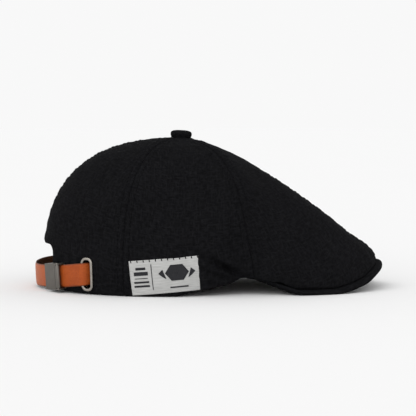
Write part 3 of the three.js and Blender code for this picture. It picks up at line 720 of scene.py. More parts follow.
def cloth_material(name, dark, light, pitch=0.00062, slub=1.0, sheen=0.0):
    """Matte linen and cotton: a plain weave with slubs along both threads, a mottled dye, and painted shade
    where the weave is low between the threads.
    """
    n = Nodes(name, Sheen_Weight=sheen, Sheen_Roughness=0.5, Sheen_Tint=rgb(0.8, 0.82, 0.95),
              Specular_IOR_Level=0.02)
    uv = n.uv()
    weave = weave_height(n, uv, pitch)
    thread = n.times(n.add(n.streaks(uv, (110, 1500), 2.0), n.streaks(uv, (1500, 90), 2.0)), 0.5 * slub)
    hatch = n.math("MAXIMUM", n.streaks(uv, (210, 640), 1.0), n.streaks(uv, (640, 210), 1.0))
    mottle = n.noise(uv, 260.0, 4.0, 0.65)
    cloud = n.noise(uv, 34.0, 3.0, 0.55)
    tone = 0.0
    for part, low, high, share in ((thread, 0.38, 0.66, 0.3), (hatch, 0.44, 0.74, 0.5),
                                   (mottle, 0.32, 0.7, 0.12), (cloud, 0.3, 0.7, 0.12)):
        tone = n.add(tone, n.times(n.spread(part, low, high), share))
    # Painted shade: the tone is darker where the weave is low, between the threads.
    tone = n.math("MULTIPLY", tone, n.spread(weave, 0.0, 1.0, 0.6, 1.1), clamp=True)
    normal = n.relief((weave, 0.00016, 0.9), (thread, 0.00035, 0.55), (hatch, 0.0005, 0.5),
                      (cloud, 0.0012, 0.25))
    return n.finish(n.mix(tone, dark, light), n.spread(mottle, 0.3, 0.7, 0.82, 0.98), normal)


def tape_material(name, dark, light):
    """Twill tape or lining: fine diagonal ribs, with painted shade in their hollows."""
    n = Nodes(name, Sheen_Weight=0.02, Sheen_Roughness=0.4, Specular_IOR_Level=0.1)
    uv = n.uv()
    split = n.node("SeparateXYZ", Vector=uv)
    rib = n.sine(n.times(n.add(split.outputs[0], split.outputs[1]), 2 * math.pi / 0.0011))
    mottle = n.noise(uv, 420.0, 3.0)
    # Painted shade: the tone is darker in the hollows of the ribs.
    tone = n.add(n.times(n.spread(rib, -1.0, 1.0), 0.5), n.times(mottle, 0.5))
    return n.finish(n.mix(tone, dark, light), n.spread(mottle, 0.3, 0.7, 0.6, 0.8),
                    n.relief((rib, 0.00012, 0.8), (mottle, 0.0003, 0.4)))


def thread_material(name, dark, light, gloss, sheen):
    n = Nodes(name, Sheen_Weight=sheen, Sheen_Roughness=0.3, Specular_IOR_Level=gloss)
    twist = n.noise(n.place(), 2600.0, 2.0)
    return n.finish(n.mix(n.spread(twist, 0.35, 0.65), dark, light), n.spread(twist, 0.3, 0.7, 0.5, 0.7),
                    n.relief((twist, 0.00012, 0.7)))


def leather_material():
    """Tan leather: pebbled grain, mottled dye, dark pores, burnished edges, and brown suede on the back.
    Painted shade darkens it along its creases, and a painted highlight makes it paler where it turns round the
    back.
    """
    n = Nodes("strap_leather", Specular_IOR_Level=0.22, Coat_Weight=0.03, Coat_Roughness=0.35)
    uv = n.uv()
    grain = n.node("TexVoronoi", {"feature": "DISTANCE_TO_EDGE"}, Vector=n.stretched(uv, 1, 1.25),
                   Scale=1350.0, Randomness=1.0).outputs["Distance"]
    pebble = n.spread(grain, 0.0, 0.22)
    fibre = n.noise(n.place(), 900.0, 5.0, 0.6)
    cloud = n.streaks(uv, (60, 150), 4.0, 0.6)
    crease = n.streaks(uv, (700, 60), 3.0, 0.55)
    flesh = n.attribute("flesh")
    colour = n.mix(n.spread(cloud, 0.3, 0.72), rgb(0.33, 0.052, 0.004), rgb(0.43, 0.085, 0.010))
    for share, tint in (
        (n.times(n.spread(fibre, 0.42, 0.72), 0.35), rgb(0.17, 0.032, 0.006)),
        # painted shade: the leather is darker along its creases
        (n.times(n.spread(crease, 0.56, 0.7), 0.3), rgb(0.19, 0.038, 0.008)),
        # painted highlight: the leather is paler where the strap turns round the back
        (n.times(n.attribute("turn_highlight"), 0.6), rgb(0.45, 0.135, 0.052)),
        (n.attribute("edge"), rgb(0.13, 0.032, 0.010)),
        (flesh, rgb(0.085, 0.032, 0.014)),
    ):
        colour = n.mix(share, colour, tint)
    return n.finish(colour, n.spread(n.add(fibre, flesh), 0.3, 1.6, 0.42, 0.9),
                    n.relief((pebble, 0.00012, 0.55), (fibre, 0.0002, 0.35), (crease, 0.0004, 0.45)))


def steel_material(name, tint, strokes, smooth, dull):
    """Brushed steel: fine lines along the axis with the smallest of strokes' scales, and worn patches."""
    n = Nodes(name, Metallic=1.0, Anisotropic=0.35)
    place_on = n.place()
    lines = n.streaks(place_on, strokes, 4.0, 0.7)
    patch = n.noise(place_on, 160.0, 4.0, 0.6)
    shade = n.spread(n.add(lines, n.times(patch, 0.8)), 0.6, 1.2)
    return n.finish(n.mix(shade, rgb(*(c * 0.72 for c in tint)), rgb(*tint)),
                    n.spread(patch, 0.3, 0.7, smooth, dull),
                    n.relief((lines, 0.00006, 0.5), (patch, 0.0003, 0.12)))


def board_material():
    n = Nodes("peak_board_sheet", Specular_IOR_Level=0.4)
    fleck = n.noise(n.place(), 700.0, 3.0)
    return n.finish(n.mix(fleck, rgb(0.022, 0.022, 0.024), rgb(0.045, 0.045, 0.048)),
                    n.spread(fleck, 0.3, 0.7, 0.5, 0.7), n.relief((fleck, 0.0002, 0.4)))


def label_material():
    """Pale woven satin: fine weft ribs, faint yarn streaks and slightly soiled patches."""
    n = Nodes("label_weave", Sheen_Weight=0.25, Sheen_Roughness=0.35, Specular_IOR_Level=0.35)
    uv = n.uv()
    split = n.node("SeparateXYZ", Vector=uv)
    rib = n.sine(n.times(split.outputs[1], 2 * math.pi / 0.00042))
    cross = n.sine(n.times(split.outputs[0], 2 * math.pi / 0.00055))
    streak = n.streaks(uv, (90, 2400), 2.0)
    cloud = n.noise(uv, 70.0, 3.0)
    colour = n.mix(n.spread(streak, 0.35, 0.65), rgb(0.40, 0.40, 0.39), rgb(0.54, 0.54, 0.53))
    colour = n.mix(n.times(n.spread(cloud, 0.4, 0.75), 0.25), colour, rgb(0.35, 0.35, 0.335))
    height = n.add(n.times(rib, 0.6), n.times(cross, 0.4))
    return n.finish(colour, n.spread(cloud, 0.3, 0.7, 0.62, 0.8), n.relief((height, 0.00008, 0.7)))


CROWN_CLOTH = cloth_material("crown_cloth", rgb(0.0028, 0.0028, 0.0032), rgb(0.0156, 0.0156, 0.0174))
LINING = cloth_material("lining_cloth", rgb(0.002, 0.002, 0.0023), rgb(0.008, 0.008, 0.009),
                        pitch=0.00045, slub=0.5, sheen=0.02)
TAPE = tape_material("twill_tape", rgb(0.003, 0.003, 0.0033), rgb(0.012, 0.012, 0.0132))
BLACK_THREAD = thread_material("black_thread", rgb(0.0012, 0.0012, 0.0015), rgb(0.0045, 0.0045, 0.0052),
                               gloss=0.03, sheen=0.0)
DARK_THREAD = thread_material("label_thread", rgb(0.010, 0.010, 0.012), rgb(0.030, 0.030, 0.034),
                              gloss=0.15, sheen=0.04)
LEATHER = leather_material()
CLASP_STEEL = steel_material("clasp_steel", (0.175, 0.163, 0.148), (1400, 1400, 60), 0.30, 0.46)
GROMMET_STEEL = steel_material("grommet_steel", (0.40, 0.37, 0.33), (300, 300, 300), 0.2, 0.36)
BOARD = board_material()
LABEL = label_material()


def place(piece, slot, *materials, node=None, body=BODY):
    """Gives a piece its materials and body, and hides the CAD node that it stands for."""
    for material in materials:
        piece.data.materials.append(material)
    if node:
        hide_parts(*([node] if isinstance(node, str) else node))
    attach(piece, body)
    return piece


# ---- Crown ----
SIDES = {"right": -1, "left": 1}


def make_crown():
    for name, side in SIDES.items():
        front = Panel(side, SEAM_FRONT, SEAM_NOTCH, 1.0)
        middle = Panel(side, SEAM_NOTCH, SEAM_SIDE, 2.0)
        rear = Panel(side, SEAM_SIDE, SEAM_BACK, 3.0)
        blocks = {
            "front": plain_blocks(front, columns=92, rows=150),
            "middle": plain_blocks(middle, columns=92, rows=120),
            "rear": rear_blocks(rear, columns=64, rows=90, low_rows=30),
        }
        for part, made in blocks.items():
            piece = shell(f"{part}_panel_{name}_cloth", made, lined=True)
            if part == "rear" and name == "right":
                cut_slit(piece)
            place(piece, "cloth", CROWN_CLOTH, LINING, node=f"crown_{part}_panel_{name}")
        # Each row of topstitching: its panel, which of its seams it follows, and from which t to which.
        rows = (
            ("front_seam", front, 0, 0.13, 0.985), ("notch_seam_front", front, 1, 0.13, 0.985),
            ("notch_seam_back", middle, 0, 0.13, 0.975), ("side_seam_front", middle, 1, 0.15, 0.985),
            ("side_seam_back", rear, 0, 0.15, 0.985), ("back_seam", rear, 1, 0.13, 0.63),
        )
        for row, panel, which, t_from, t_to in rows:
            path, normals = path_beside_seam(panel, which, SEAM_STITCH, t_from, t_to)
            sew(f"topstitch_{row}_{name}", path, normals, lift=0.05)


def rectangle(left, right, low, high):
    return [(left, low), (right, low), (right, high), (left, high)]


def rounded_outline(width, height, radius, steps=8):
    """Points of a rounded rectangle, counter-clockwise from its lower right corner."""
    points = []
    for k, (x, y) in enumerate(((1, -1), (1, 1), (-1, 1), (-1, -1))):
        centre = np.array([x * (width / 2 - radius), y * (height / 2 - radius)])
        for angle in np.linspace(-90 + 90 * k, 90 * k, steps):
            turn = math.radians(angle)
            points.append(centre + radius * np.array([math.cos(turn), math.sin(turn)]))
    return np.array(points)


# ---- Lying on the crown: x round it towards the front on the wearer's right, y up, z out ----
def lay_on_crown(points, azimuth, height, tilt=0.0):
    per_degree = np.linalg.norm(on_crown(azimuth + 0.5, height) - on_crown(azimuth - 0.5, height))
    rise = np.linalg.norm(on_crown(azimuth, height + 1.0) - on_crown(azimuth, height))
    c, s = math.cos(math.radians(tilt)), math.sin(math.radians(tilt))
    x, y = points[..., 0], points[..., 1]
    return on_crown(azimuth + (x * c - y * s) / per_degree, height + (x * s + y * c) / rise, points[..., 2])


GROMMET_AZIMUTH, GROMMET_HEIGHT = -138.5, 16.4
GROMMET_WIDTH, GROMMET_TALL, GROMMET_BAR, GROMMET_CORNER = 10.8, 26.8, 2.1, 4.8
SLIT_ROOM = 0.5  # how much wider and taller the slit is than the grommet's opening
STRAP_WIDTH, STRAP_THICKNESS = 18, 1.8
STRAP_HEIGHT = [  # its middle's height, keyed by azimuth counted up round the back
    [-205, 15], [-190, 13.5], [-174, 11.3], [-155.5, 13], [-138.5, 16.6], [-124, 18.6],
]


def on_grommet(points):
    return lay_on_crown(points, GROMMET_AZIMUTH, GROMMET_HEIGHT)


def cut_slit(piece):
    """Opens the rear panel inside the grommet."""
    bar = 2 * GROMMET_BAR
    width, height = GROMMET_WIDTH - bar + SLIT_ROOM, GROMMET_TALL - bar + SLIT_ROOM
    outline = rounded_outline(width, height, GROMMET_CORNER - GROMMET_BAR)
    rings = [np.column_stack([outline, np.full(len(outline), z)]) for z in (-5.0, -1.0, 1.5, 4.0)]
    cutter = tube("slit_cutter", on_grommet(np.stack(rings)))
    cut = piece.modifiers.new("slit", "BOOLEAN")
    cut.object, cut.solver = cutter, "EXACT"
    bpy.context.view_layer.update()
    shape = bpy.data.meshes.new_from_object(piece.evaluated_get(bpy.context.evaluated_depsgraph_get()))
    piece.modifiers.clear()
    piece.data = shape
    bpy.data.objects.remove(cutter)


def make_grommet():
    def ring(name, node, out, thickness, round_top):
        middle = rounded_outline(GROMMET_WIDTH - GROMMET_BAR, GROMMET_TALL - GROMMET_BAR,
                                 GROMMET_CORNER - GROMMET_BAR / 2, 14)
        ahead = np.roll(middle, -1, 0) - np.roll(middle, 1, 0)
        side = unit(np.stack([ahead[:, 1], -ahead[:, 0]], -1))
        turn = np.linspace(0, 2 * math.pi, 20, endpoint=False)
        flat = 0.45 if round_top else 0.3
        across = GROMMET_BAR / 2 * np.sign(np.cos(turn)) * np.abs(np.cos(turn)) ** (1 - flat)
        up = thickness / 2 * np.sign(np.sin(turn)) * np.abs(np.sin(turn)) ** (1 - flat)
        points = middle[:, None, :] + side[:, None, :] * across[None, :, None]
        heights = np.broadcast_to(out + thickness / 2 + up, points.shape[:2])
        skin = on_grommet(np.concatenate([points, heights[..., None]], -1))
        place(tube(name, skin, closed_path=True), "metal", GROMMET_STEEL, node=node)
    ring("grommet_rim", "grommet_face", 0.05, 1.9, True)
    ring("grommet_back_rim", "grommet_backing_washer", -CLOTH - 1.9, 1.2, False)


# ---- Peak ----
def peak_outer(azimuth):
    a = fold(azimuth)
    share = ease((a - PEAK_TUCK_FROM) / (PEAK_TUCK_TO - PEAK_TUCK_FROM))
    return (1 - share) * peak_reach(a) + share * (hem_reach(a) - PEAK_TUCK_INSET)


peak_thickness = around(keyed(PEAK_THICKNESS, AROUND)[0])
peak_top_lift = around(keyed(PEAK_TOP_LIFT, AROUND)[0])
forehead_height = around(keyed(FOREHEAD_HEIGHT, AROUND)[0])
PEAK_FLAT_MARGIN = 8


def peak_root(azimuth):
    """Where the peak ends against the sweatband."""
    return head_reach(fold(azimuth)) - BAND_INSET + 0.3


def peak_point(azimuth, inward, depth):
    """A point of the peak: inward from its outline, and depth in millimetres below its top."""
    outer = peak_outer(azimuth)
    width = outer - peak_root(azimuth)
    flat = np.minimum(PEAK_FLAT_MARGIN, width * 0.6)
    rise = np.maximum(0, (np.minimum(inward, width) - flat) / (width - flat))
    rise = rise + 0.06 * np.sin(math.pi * np.clip(rise, 0, 1))
    edge = edge_height(azimuth) + peak_top_lift(azimuth)
    top = edge + (forehead_height(azimuth) - edge) * rise
    return polar(azimuth, outer - np.minimum(inward, width), top - depth)


def peak_skin(name, node, profile_of, columns=150, materials=(), slot="cloth"):
    """A closed skin round the peak, from the (inward, depth) points that profile_of(width, thickness) gives."""
    azimuth = np.linspace(-PEAK_END, PEAK_END, columns)
    rings = []
    for a in azimuth:
        width = float(peak_outer(a) - peak_root(a))
        inward, depth = profile_of(width, float(peak_thickness(a))).T
        rings.append(peak_point(np.full_like(inward, a), inward, depth))
    skin = np.stack(rings)
    uv = uv_grid(travelled(skin[:, 0]), travelled(skin[columns // 2]))
    return place(tube(name, skin, uv=uv), slot, *materials, node=node)


COVER = 0.9  # thickness of the peak's cloth
BOARD_INSET = 4  # how far the stiffener stops short of the peak's edges
EDGE_ROLL = 4.6  # how far in from the edge its top is rounded
ROLL_SHARE, TURN_SHARE, COVER_SHARE = 0.62, 0.3, 0.22  # of the peak's thickness: roll, turn-under, most cloth
UNDER_TOP = 0.76  # depth of the lower cover's inside, as a share of the peak's thickness
UNDER_EDGE, UNDER_STITCH = 1.9, 5  # its edge from the peak's, and its stitches from its edge
UNDER_ROUND, UNDER_ROUND_OVER = 0.5, 1.4
UNDER_VALLEY, UNDER_VALLEY_WIDTH = 0.22, 0.6
UNDER_GAP = 0.02
UNDER_STITCH_TO = 36  # degrees: the row ends here on each side
BOARD_TOP, BOARD_BOTTOM = 0.4, 0.6  # shares of the peak's thickness
PEAK_STEPS = 24


def cover_profile(width, thickness):
    """The upper cover: over the top, round the edge in a soft roll, and turned under at the bottom."""
    steps = 26
    inward = width - (width - EDGE_ROLL - 0.1) * np.linspace(0, 1, steps) ** 0.8
    top = np.stack([inward, np.zeros(steps)], -1)
    shoulder = thickness * ROLL_SHARE
    angles = np.radians(np.linspace(90, 0, 10)[1:])
    upper = np.stack([EDGE_ROLL * (1 - np.cos(angles)), shoulder * (1 - np.sin(angles))], -1)
    turn = thickness * TURN_SHARE
    angles = np.radians(np.linspace(0, 80, 7))
    lower = np.stack([turn * (1 - np.cos(angles)), thickness - turn * (1 - np.sin(angles))], -1)
    outer = np.concatenate([top, upper, lower])
    along = np.gradient(outer, axis=0)
    inside = unit(np.stack([-along[:, 1], along[:, 0]], -1))
    if inside[0, 1] < 0:
        inside = -inside
    inner = outer + inside * min(COVER, thickness * COVER_SHARE)
    return np.concatenate([outer, inner[::-1]])


def under_profile(width, thickness):
    """The lower cover: a flat cloth under the board, with its edge rounded into the seam."""
    bottom, top = thickness - UNDER_GAP, thickness * UNDER_TOP
    inward = UNDER_EDGE + (width - UNDER_EDGE) * np.linspace(0, 1, PEAK_STEPS)
    round_edge = np.clip((inward - UNDER_EDGE) / UNDER_ROUND_OVER, 0, 1)
    lower = bottom - UNDER_ROUND * (1 - round_edge) ** 2
    lower -= UNDER_VALLEY * bump(inward - UNDER_EDGE - UNDER_STITCH, UNDER_VALLEY_WIDTH)
    upper = np.full_like(inward, top)
    return np.concatenate([np.stack([inward, lower], -1), np.stack([inward[::-1], upper], -1)])


def board_profile(width, thickness):
    """The stiffener, a thin sheet halfway between the two covers and short of both edges."""
    inward = np.linspace(BOARD_INSET, width - BOARD_INSET, PEAK_STEPS)
    top, bottom = (np.stack([inward, np.full_like(inward, share * thickness)], -1)
                   for share in (BOARD_TOP, BOARD_BOTTOM))
    return np.concatenate([top, bottom[::-1]])


def make_peak():
    peak_skin("peak_upper_cloth", "peak_upper_cover", cover_profile, materials=(CROWN_CLOTH,))
    peak_skin("peak_under_cloth", "peak_under_cover", under_profile, materials=(CROWN_CLOTH,))
    peak_skin("peak_stiffener", "peak_board", board_profile, materials=(BOARD,), slot="board")
    azimuth = np.linspace(-UNDER_STITCH_TO, UNDER_STITCH_TO, 240)
    inward = np.full_like(azimuth, UNDER_EDGE + UNDER_STITCH)
    path = peak_point(azimuth, inward, peak_thickness(azimuth) - 0.2)
    sew("peak_under_stitch", path, np.tile([0, 0, -1.0], (len(path), 1)), lift=0.1)


# ---- Button ----
def lathe(profile, count=96, pleats=0, depth=0.0):
    """Rings round Z from (radius, height) points; pleats dent it near its rim."""
    turn = np.linspace(0, 2 * math.pi, count, endpoint=False)
    profile = np.array(profile, float)
    radius, height = profile[:, 0][:, None], profile[:, 1][:, None]
    rim = ease((radius - 4.5) / 3.5)
    dent = depth * rim * np.abs(np.sin(pleats * turn / 2))[None, :] ** 0.6 if pleats else 0
    r = np.maximum(radius - dent, 0.02)
    return np.stack(np.broadcast_arrays(r * np.cos(turn), r * np.sin(turn), height), -1)


BUTTON_TILT = math.radians(3)
BUTTON_RADIUS, BUTTON_WAIST, BUTTON_HEIGHT = 8.9, 2.5, 5.7
BUTTON_SEAT = 0.5  # how far its own zero is above the crown's top
DOME_ROUNDNESS = 0.71  # 1 is an ellipse, and less is boxier
BUTTON_SKIRT = [(8.88, 1.9), (8.75, 1.2), (8.5, 0.4), (8.2, -0.5), (7.6, -1.4), (6.0, -1.9), (0.0, -1.9)]
PLEATS, PLEAT_DEPTH = 14, 0.16
WASHER_DROP = 2  # with CLOTH, how far the washer's top is below the button's own zero


def on_button(points):
    c, s = math.cos(BUTTON_TILT), math.sin(BUTTON_TILT)
    x, y, z = np.moveaxis(points, -1, 0)
    return np.stack([x * c + z * s + BUTTON_X, y, z * c - x * s + CROWN_TOP + BUTTON_SEAT], -1)


def button_piece(name, profile, slot, material, node, **pleats):
    skin = on_button(lathe(profile, **pleats))
    along = travelled(np.array(profile, float))
    turn = np.linspace(0, 2 * math.pi, skin.shape[1], endpoint=False)
    spread = np.stack([along[:, None] * np.cos(turn), along[:, None] * np.sin(turn)], -1)
    return place(tube(name, skin, uv=spread.reshape(-1, 2) * MM), slot, material, node=node)


def make_button():
    angles = np.radians(np.linspace(90, 0, 20))
    rise = BUTTON_HEIGHT - BUTTON_WAIST
    dome = [(BUTTON_RADIUS * math.cos(a) ** DOME_ROUNDNESS, BUTTON_WAIST + rise * math.sin(a) ** DOME_ROUNDNESS)
            for a in angles]
    dome[0] = (0.0, BUTTON_HEIGHT)
    button_piece("button_cloth", dome + BUTTON_SKIRT, "cloth", CROWN_CLOTH,
                 ["button_cloth_cover", "button_former"], pleats=PLEATS, depth=PLEAT_DEPTH)
    top = -CLOTH - WASHER_DROP
    rivet = [(0, 0.2), (1.6, 0.2), (1.7, top - 1.3), (3.4, top - 1.35), (4.0, top - 1.7), (3.8, top - 2.2),
             (2.6, top - 2.5), (0, top - 2.6)]
    washer = [(1.9, top), (8.4, top - 0.3), (8.95, top - 0.5), (9.0, top - 0.8), (8.7, top - 1.1),
              (2.0, top - 1.1)]
    button_piece("button_rivet_head", rivet, "metal", GROMMET_STEEL, "button_rivet")
    button_piece("button_washer_disc", washer, "metal", GROMMET_STEEL, "button_washer")


# ---- Inside: sweatband, tapes and binding ----
BAND_HEIGHT, BAND_THICKNESS, BAND_LEAN = 32, 2, 1.5
BAND_BULGE = [[-157, 3], [-150, 4.2], [-130, 4.2], [-116, 0], [180, 0]]
BAND_FROM, BAND_TO = -157, 154
BAND_LENGTH, BAND_STITCH = 560, 3.2
BAND_WAVE, BAND_ROUND, BAND_VALLEY = 0.35, 0.6, 0.35


def make_sweatband():
    rows, columns = 26, 420
    u, v = np.meshgrid(np.linspace(0, 1, columns), np.linspace(0, 1, rows))
    azimuth = BAND_FROM + (BAND_TO - BAND_FROM) * u
    a = fold(azimuth)
    base = head_reach(a) - BAND_INSET - keyed(BAND_BULGE, azimuth)[0] - BAND_LEAN * v
    share = ease((a - PEAK_END) / 8)
    foot = (forehead_height(a) - peak_thickness(a)) * (1 - share) + (hem_height(a) + 1.5) * share
    height = foot + BAND_HEIGHT * v
    edge = bump(np.minimum(v, 1 - v) * BAND_HEIGHT, 1.0) + bump(np.minimum(u, 1 - u) * BAND_LENGTH, 1.0)
    plain = polar(azimuth, base, height)
    wave = BAND_WAVE * ripples(plain, 24, 31) * np.sin(math.pi * v)
    stitch = bump(v * BAND_HEIGHT - BAND_STITCH, 0.6) + bump((1 - v) * BAND_HEIGHT - BAND_STITCH, 0.6)
    outer = polar(azimuth, base + wave - BAND_ROUND * edge, height)
    inner = polar(azimuth, base + wave - BAND_THICKNESS + BAND_ROUND * edge + BAND_VALLEY * stitch, height)
    uv = np.stack([u * BAND_LENGTH, v * BAND_HEIGHT], -1)
    piece = shell("sweatband_cloth", [(outer, inner, uv)])
    place(piece, "lining", TAPE, node="sweatband")
    for name, row in (("top", -3), ("foot", 3)):
        normals = unit(inner[row] - outer[row])
        sew(f"sweatband_stitch_{name}", inner[row], normals, "lining", lift=0.08)


TAPE_HALF_WIDTH, TAPE_THICKNESS, TAPE_OFF = 6, 0.9, 0.35
TAPE_LENGTH, TAPE_ROUND, TAPE_WAVE, TAPE_VALLEY = 150, 0.35, 0.12, 0.25
TAPE_FROM = 14  # how far from the button's axis a tape begins
TAPE_ENDS = {"front": 42, "notch": 50, "side": 4, "back": 52}


def seam_tape(name, azimuth, end_height, node):
    """A strip of twill behind a seam; its edges are rounded and its middle follows the seam's ridge."""
    reach = TAPE_FROM / (3 * float(handles[0](azimuth)))
    end = float(t_at_height(azimuth, end_height))
    v, w = np.meshgrid(np.linspace(0, 1, 110), np.linspace(-1, 1, 17), indexing="ij")
    t = reach + (end - reach) * v
    sideways = np.degrees(w * TAPE_HALF_WIDTH / meridian(azimuth, t)[0])
    across = seam_at(azimuth, t) + sideways
    plain, normal = crown(across, t), crown_normal(across, t)
    round_off = TAPE_ROUND * bump(1 - np.abs(w), 0.12)
    wave = TAPE_WAVE * ripples(plain, 9, 41)
    top = -CLOTH - TAPE_OFF - round_off + wave
    bottom = -CLOTH - TAPE_OFF - TAPE_THICKNESS + round_off + wave - TAPE_VALLEY * bump(w, 0.2)
    uv = np.stack([w * TAPE_HALF_WIDTH, v * TAPE_LENGTH], -1)
    block = moved(plain, normal, top), moved(plain, normal, bottom), uv
    place(shell(name, [block]), "lining", TAPE, node=node)


def make_tapes():
    seam_tape("front_seam_tape", 0.0, TAPE_ENDS["front"], "seam_tape_front")
    seam_tape("back_seam_tape", 180.0, TAPE_ENDS["back"], "seam_tape_back")
    for name, side in SIDES.items():
        for seam, azimuth in (("notch", SEAM_NOTCH), ("side", SEAM_SIDE)):
            node = f"seam_tape_{seam}_{name}"
            seam_tape(f"{seam}_seam_tape_{name}", side * float(azimuth), TAPE_ENDS[seam], node)


def crown_behind(y, z, out):
    """The crown's point at the back with the given y and height."""
    azimuth = np.full(np.shape(y), 175.0)
    for _ in range(10):
        radius = meridian(azimuth, t_at_height(azimuth, z))[0]
        azimuth = 180 - np.degrees(np.arcsin(np.clip(y / radius, -0.9, 0.9)))
    return on_crown(azimuth, z, out)


def arch_outline(margin, count=40):
    """(y, z) points along the rear opening, from the right foot over the top to the left one."""
    half, top, corner = ARCH_HALF_WIDTH + margin, ARCH_TOP + margin, ARCH_CORNER + margin
    foot = 2.6
    rise = np.stack([np.full(16, -half), np.linspace(foot, top - corner, 16)], -1)
    angles = np.radians(np.linspace(180, 90, 12))[1:]
    turn = np.stack([-half + corner + corner * np.cos(angles), top - corner + corner * np.sin(angles)], -1)
    flat = np.stack([np.linspace(-half + corner, half - corner, count)[1:-1], np.full(count - 2, top)], -1)
    left = np.concatenate([rise, turn])
    return np.concatenate([left, flat, left[::-1] * [-1, 1]])


BINDING_FROM, BINDING_WIDTH, BINDING_LENGTH = 0.3, 9, 150
BINDING_OFF, BINDING_BACK = 0.3, 1.3  # from the cloth's inside to the tape's two faces


def make_binding():
    margins = np.linspace(BINDING_FROM, BINDING_WIDTH, 12)
    rows = np.stack([arch_outline(m) for m in margins])
    across = np.broadcast_to(np.linspace(0, 1, len(margins))[:, None], rows.shape[:2])
    round_off = TAPE_ROUND * bump(np.minimum(across, 1 - across), 0.08)
    outer = crown_behind(rows[..., 0], rows[..., 1], -CLOTH - BINDING_OFF - round_off)
    inner = crown_behind(rows[..., 0], rows[..., 1], -CLOTH - BINDING_BACK + round_off)
    along = np.linspace(0, BINDING_LENGTH, rows.shape[1])[None, :]
    uv = np.stack(np.broadcast_arrays(along, across * BINDING_WIDTH), -1)
    place(shell("rear_binding_tape", [(outer, inner, uv)]), "lining", TAPE,
          node="rear_opening_binding")
    path = arch_outline(ARCH_STITCH)
    out = np.full(len(path), 0.22)
    points = crown_behind(path[:, 0], path[:, 1], out)
    normals = unit(points - crown_behind(path[:, 0], path[:, 1], out - 1))
    sew("rear_opening_stitch", points, normals, lift=0.05)


# ---- Strap ----
STRAP_OUT = [
    [-205, -4.9], [-199.2, -4.7], [-194, -1.2], [-188.5, 3.4], [-180, 6.3], [-173, 5.8], [-166.5, 4.1],
    [-160.5, 3.1], [-140.2, 3.1], [-136.7, -5.4], [-124, -5.4],
]
STRAP_TURN, STRAP_TURN_WIDTH = -176, 11  # degrees: where the strap is bent round the back; there a painted highlight makes the leather paler
TAB_WIDTH, TAB_THICKNESS = 15, 1.3
TAB_OUT = [[-163.6, -0.5], [-162.6, -0.9], [-160.6, -4.9], [-150, -4.9]]


RIBBON_LEVELS = 15  # points across the strap on each face
RIBBON_MIDDLE = RIBBON_LEVELS // 2


def ribbon(name, table, width, thickness, steps, node):
    """A leather strip that follows the crown at a distance keyed by azimuth, with burnished round edges."""
    azimuth = np.linspace(table[0][0], table[-1][0], steps)
    out = keyed(table, azimuth)[0]
    smooth_out = np.convolve(np.pad(out, 2, mode="edge"), np.ones(5) / 5, mode="valid")
    levels = np.linspace(-0.5, 0.5, RIBBON_LEVELS)
    height = keyed(STRAP_HEIGHT, azimuth)[0]
    mid = np.stack([on_crown(azimuth, height + level * width, smooth_out) for level in levels], 1)
    along = np.gradient(mid, axis=0)
    up = np.gradient(mid, axis=1)
    normal = unit(np.cross(along, up))
    outward = on_crown(azimuth, height, smooth_out + 1) - on_crown(azimuth, height, smooth_out)
    if np.sum(normal[:, RIBBON_MIDDLE] * outward) < 0:
        normal = -normal
    half = thickness / 2 * (1 - np.abs(2 * levels) ** 8 * 0.75)
    front = mid + normal * half[None, :, None]
    back = (mid - normal * half[None, :, None])[:, ::-1]
    ring = np.concatenate([front, back], 1)
    v = np.concatenate([levels, 2.2 - levels[::-1]]) * width
    uv = uv_grid(travelled(mid[:, RIBBON_MIDDLE]), v)
    rim = np.clip((np.abs(2 * levels) - 0.93) / 0.05, 0, 1)
    edge = np.broadcast_to(np.concatenate([rim, rim[::-1]]), ring.shape[:2]).copy()
    edge[[0, -1]] = 1
    flesh = np.broadcast_to(np.repeat([0.0, 1.0], RIBBON_LEVELS), ring.shape[:2])
    # A painted highlight: the leather's colour is made paler where the strap turns round the back.
    turn_highlight = np.broadcast_to(bump(azimuth - STRAP_TURN, STRAP_TURN_WIDTH)[:, None], ring.shape[:2])
    piece = tube(name, ring, uv=uv, attributes={"edge": edge, "flesh": flesh, "turn_highlight": turn_highlight})
    return place(piece, "leather", LEATHER, node=node)


# ---- Clasp ----
joint = frame["joints"][0]
PIN_CENTRE = np.array(joint["pos_m"]) / MM - SHIFT
CLASP_UP = unit(np.array(joint["axis"]))
CLASP_AZIMUTH = -155.5
CLASP_REAR, CLASP_FRONT, CLASP_HALF, CLASP_WALL, CLASP_FLOOR, CLASP_RAIL = -8.5, 9.2, 10.6, 1.0, 0.7, 5.3
CLASP_LIFT = 0.3  # gap between the crown and the clasp's floor
TONGUE_REAR, TONGUE_HALF = -12.0, 7.5
PIN_X, PIN_Z, PIN_RADIUS, PIN_PROUD = 7.2, 6.6, 0.8, 0.3
PLATE_BEVEL, PIN_BEVEL = 0.22, 0.15
BEVEL_OVER, SHARP_OVER = 32, 38  # degrees: edges that are rounded, and edges that are shaded as sharp
LEVER_EYE, LEVER_CAM, LEVER_ECCENTRIC, LEVER_PLATE = 1.1, 1.8, 0.35, 1.0
LEVER_FREE, LEVER_SHOULDER, LEVER_HALF, LEVER_LIP = -9.4, 4.6, 9.1, 1.6


def under_strap(azimuth):
    return on_crown(azimuth, keyed(STRAP_HEIGHT, azimuth)[0])


CLASP_FORWARD = unit(under_strap(CLASP_AZIMUTH + 1.0) - under_strap(CLASP_AZIMUTH - 1.0))
CLASP_OUT = unit(np.cross(CLASP_FORWARD, CLASP_UP))
CLASP_ORIGIN = PIN_CENTRE - CLASP_FORWARD * PIN_X - CLASP_OUT * PIN_Z


def on_clasp(points):
    """From the clasp's length (x), width (y) and thickness (z) to the cap's frame."""
    return (CLASP_ORIGIN + points[..., :1] * CLASP_FORWARD + points[..., 1:2] * CLASP_UP
            + points[..., 2:] * CLASP_OUT)


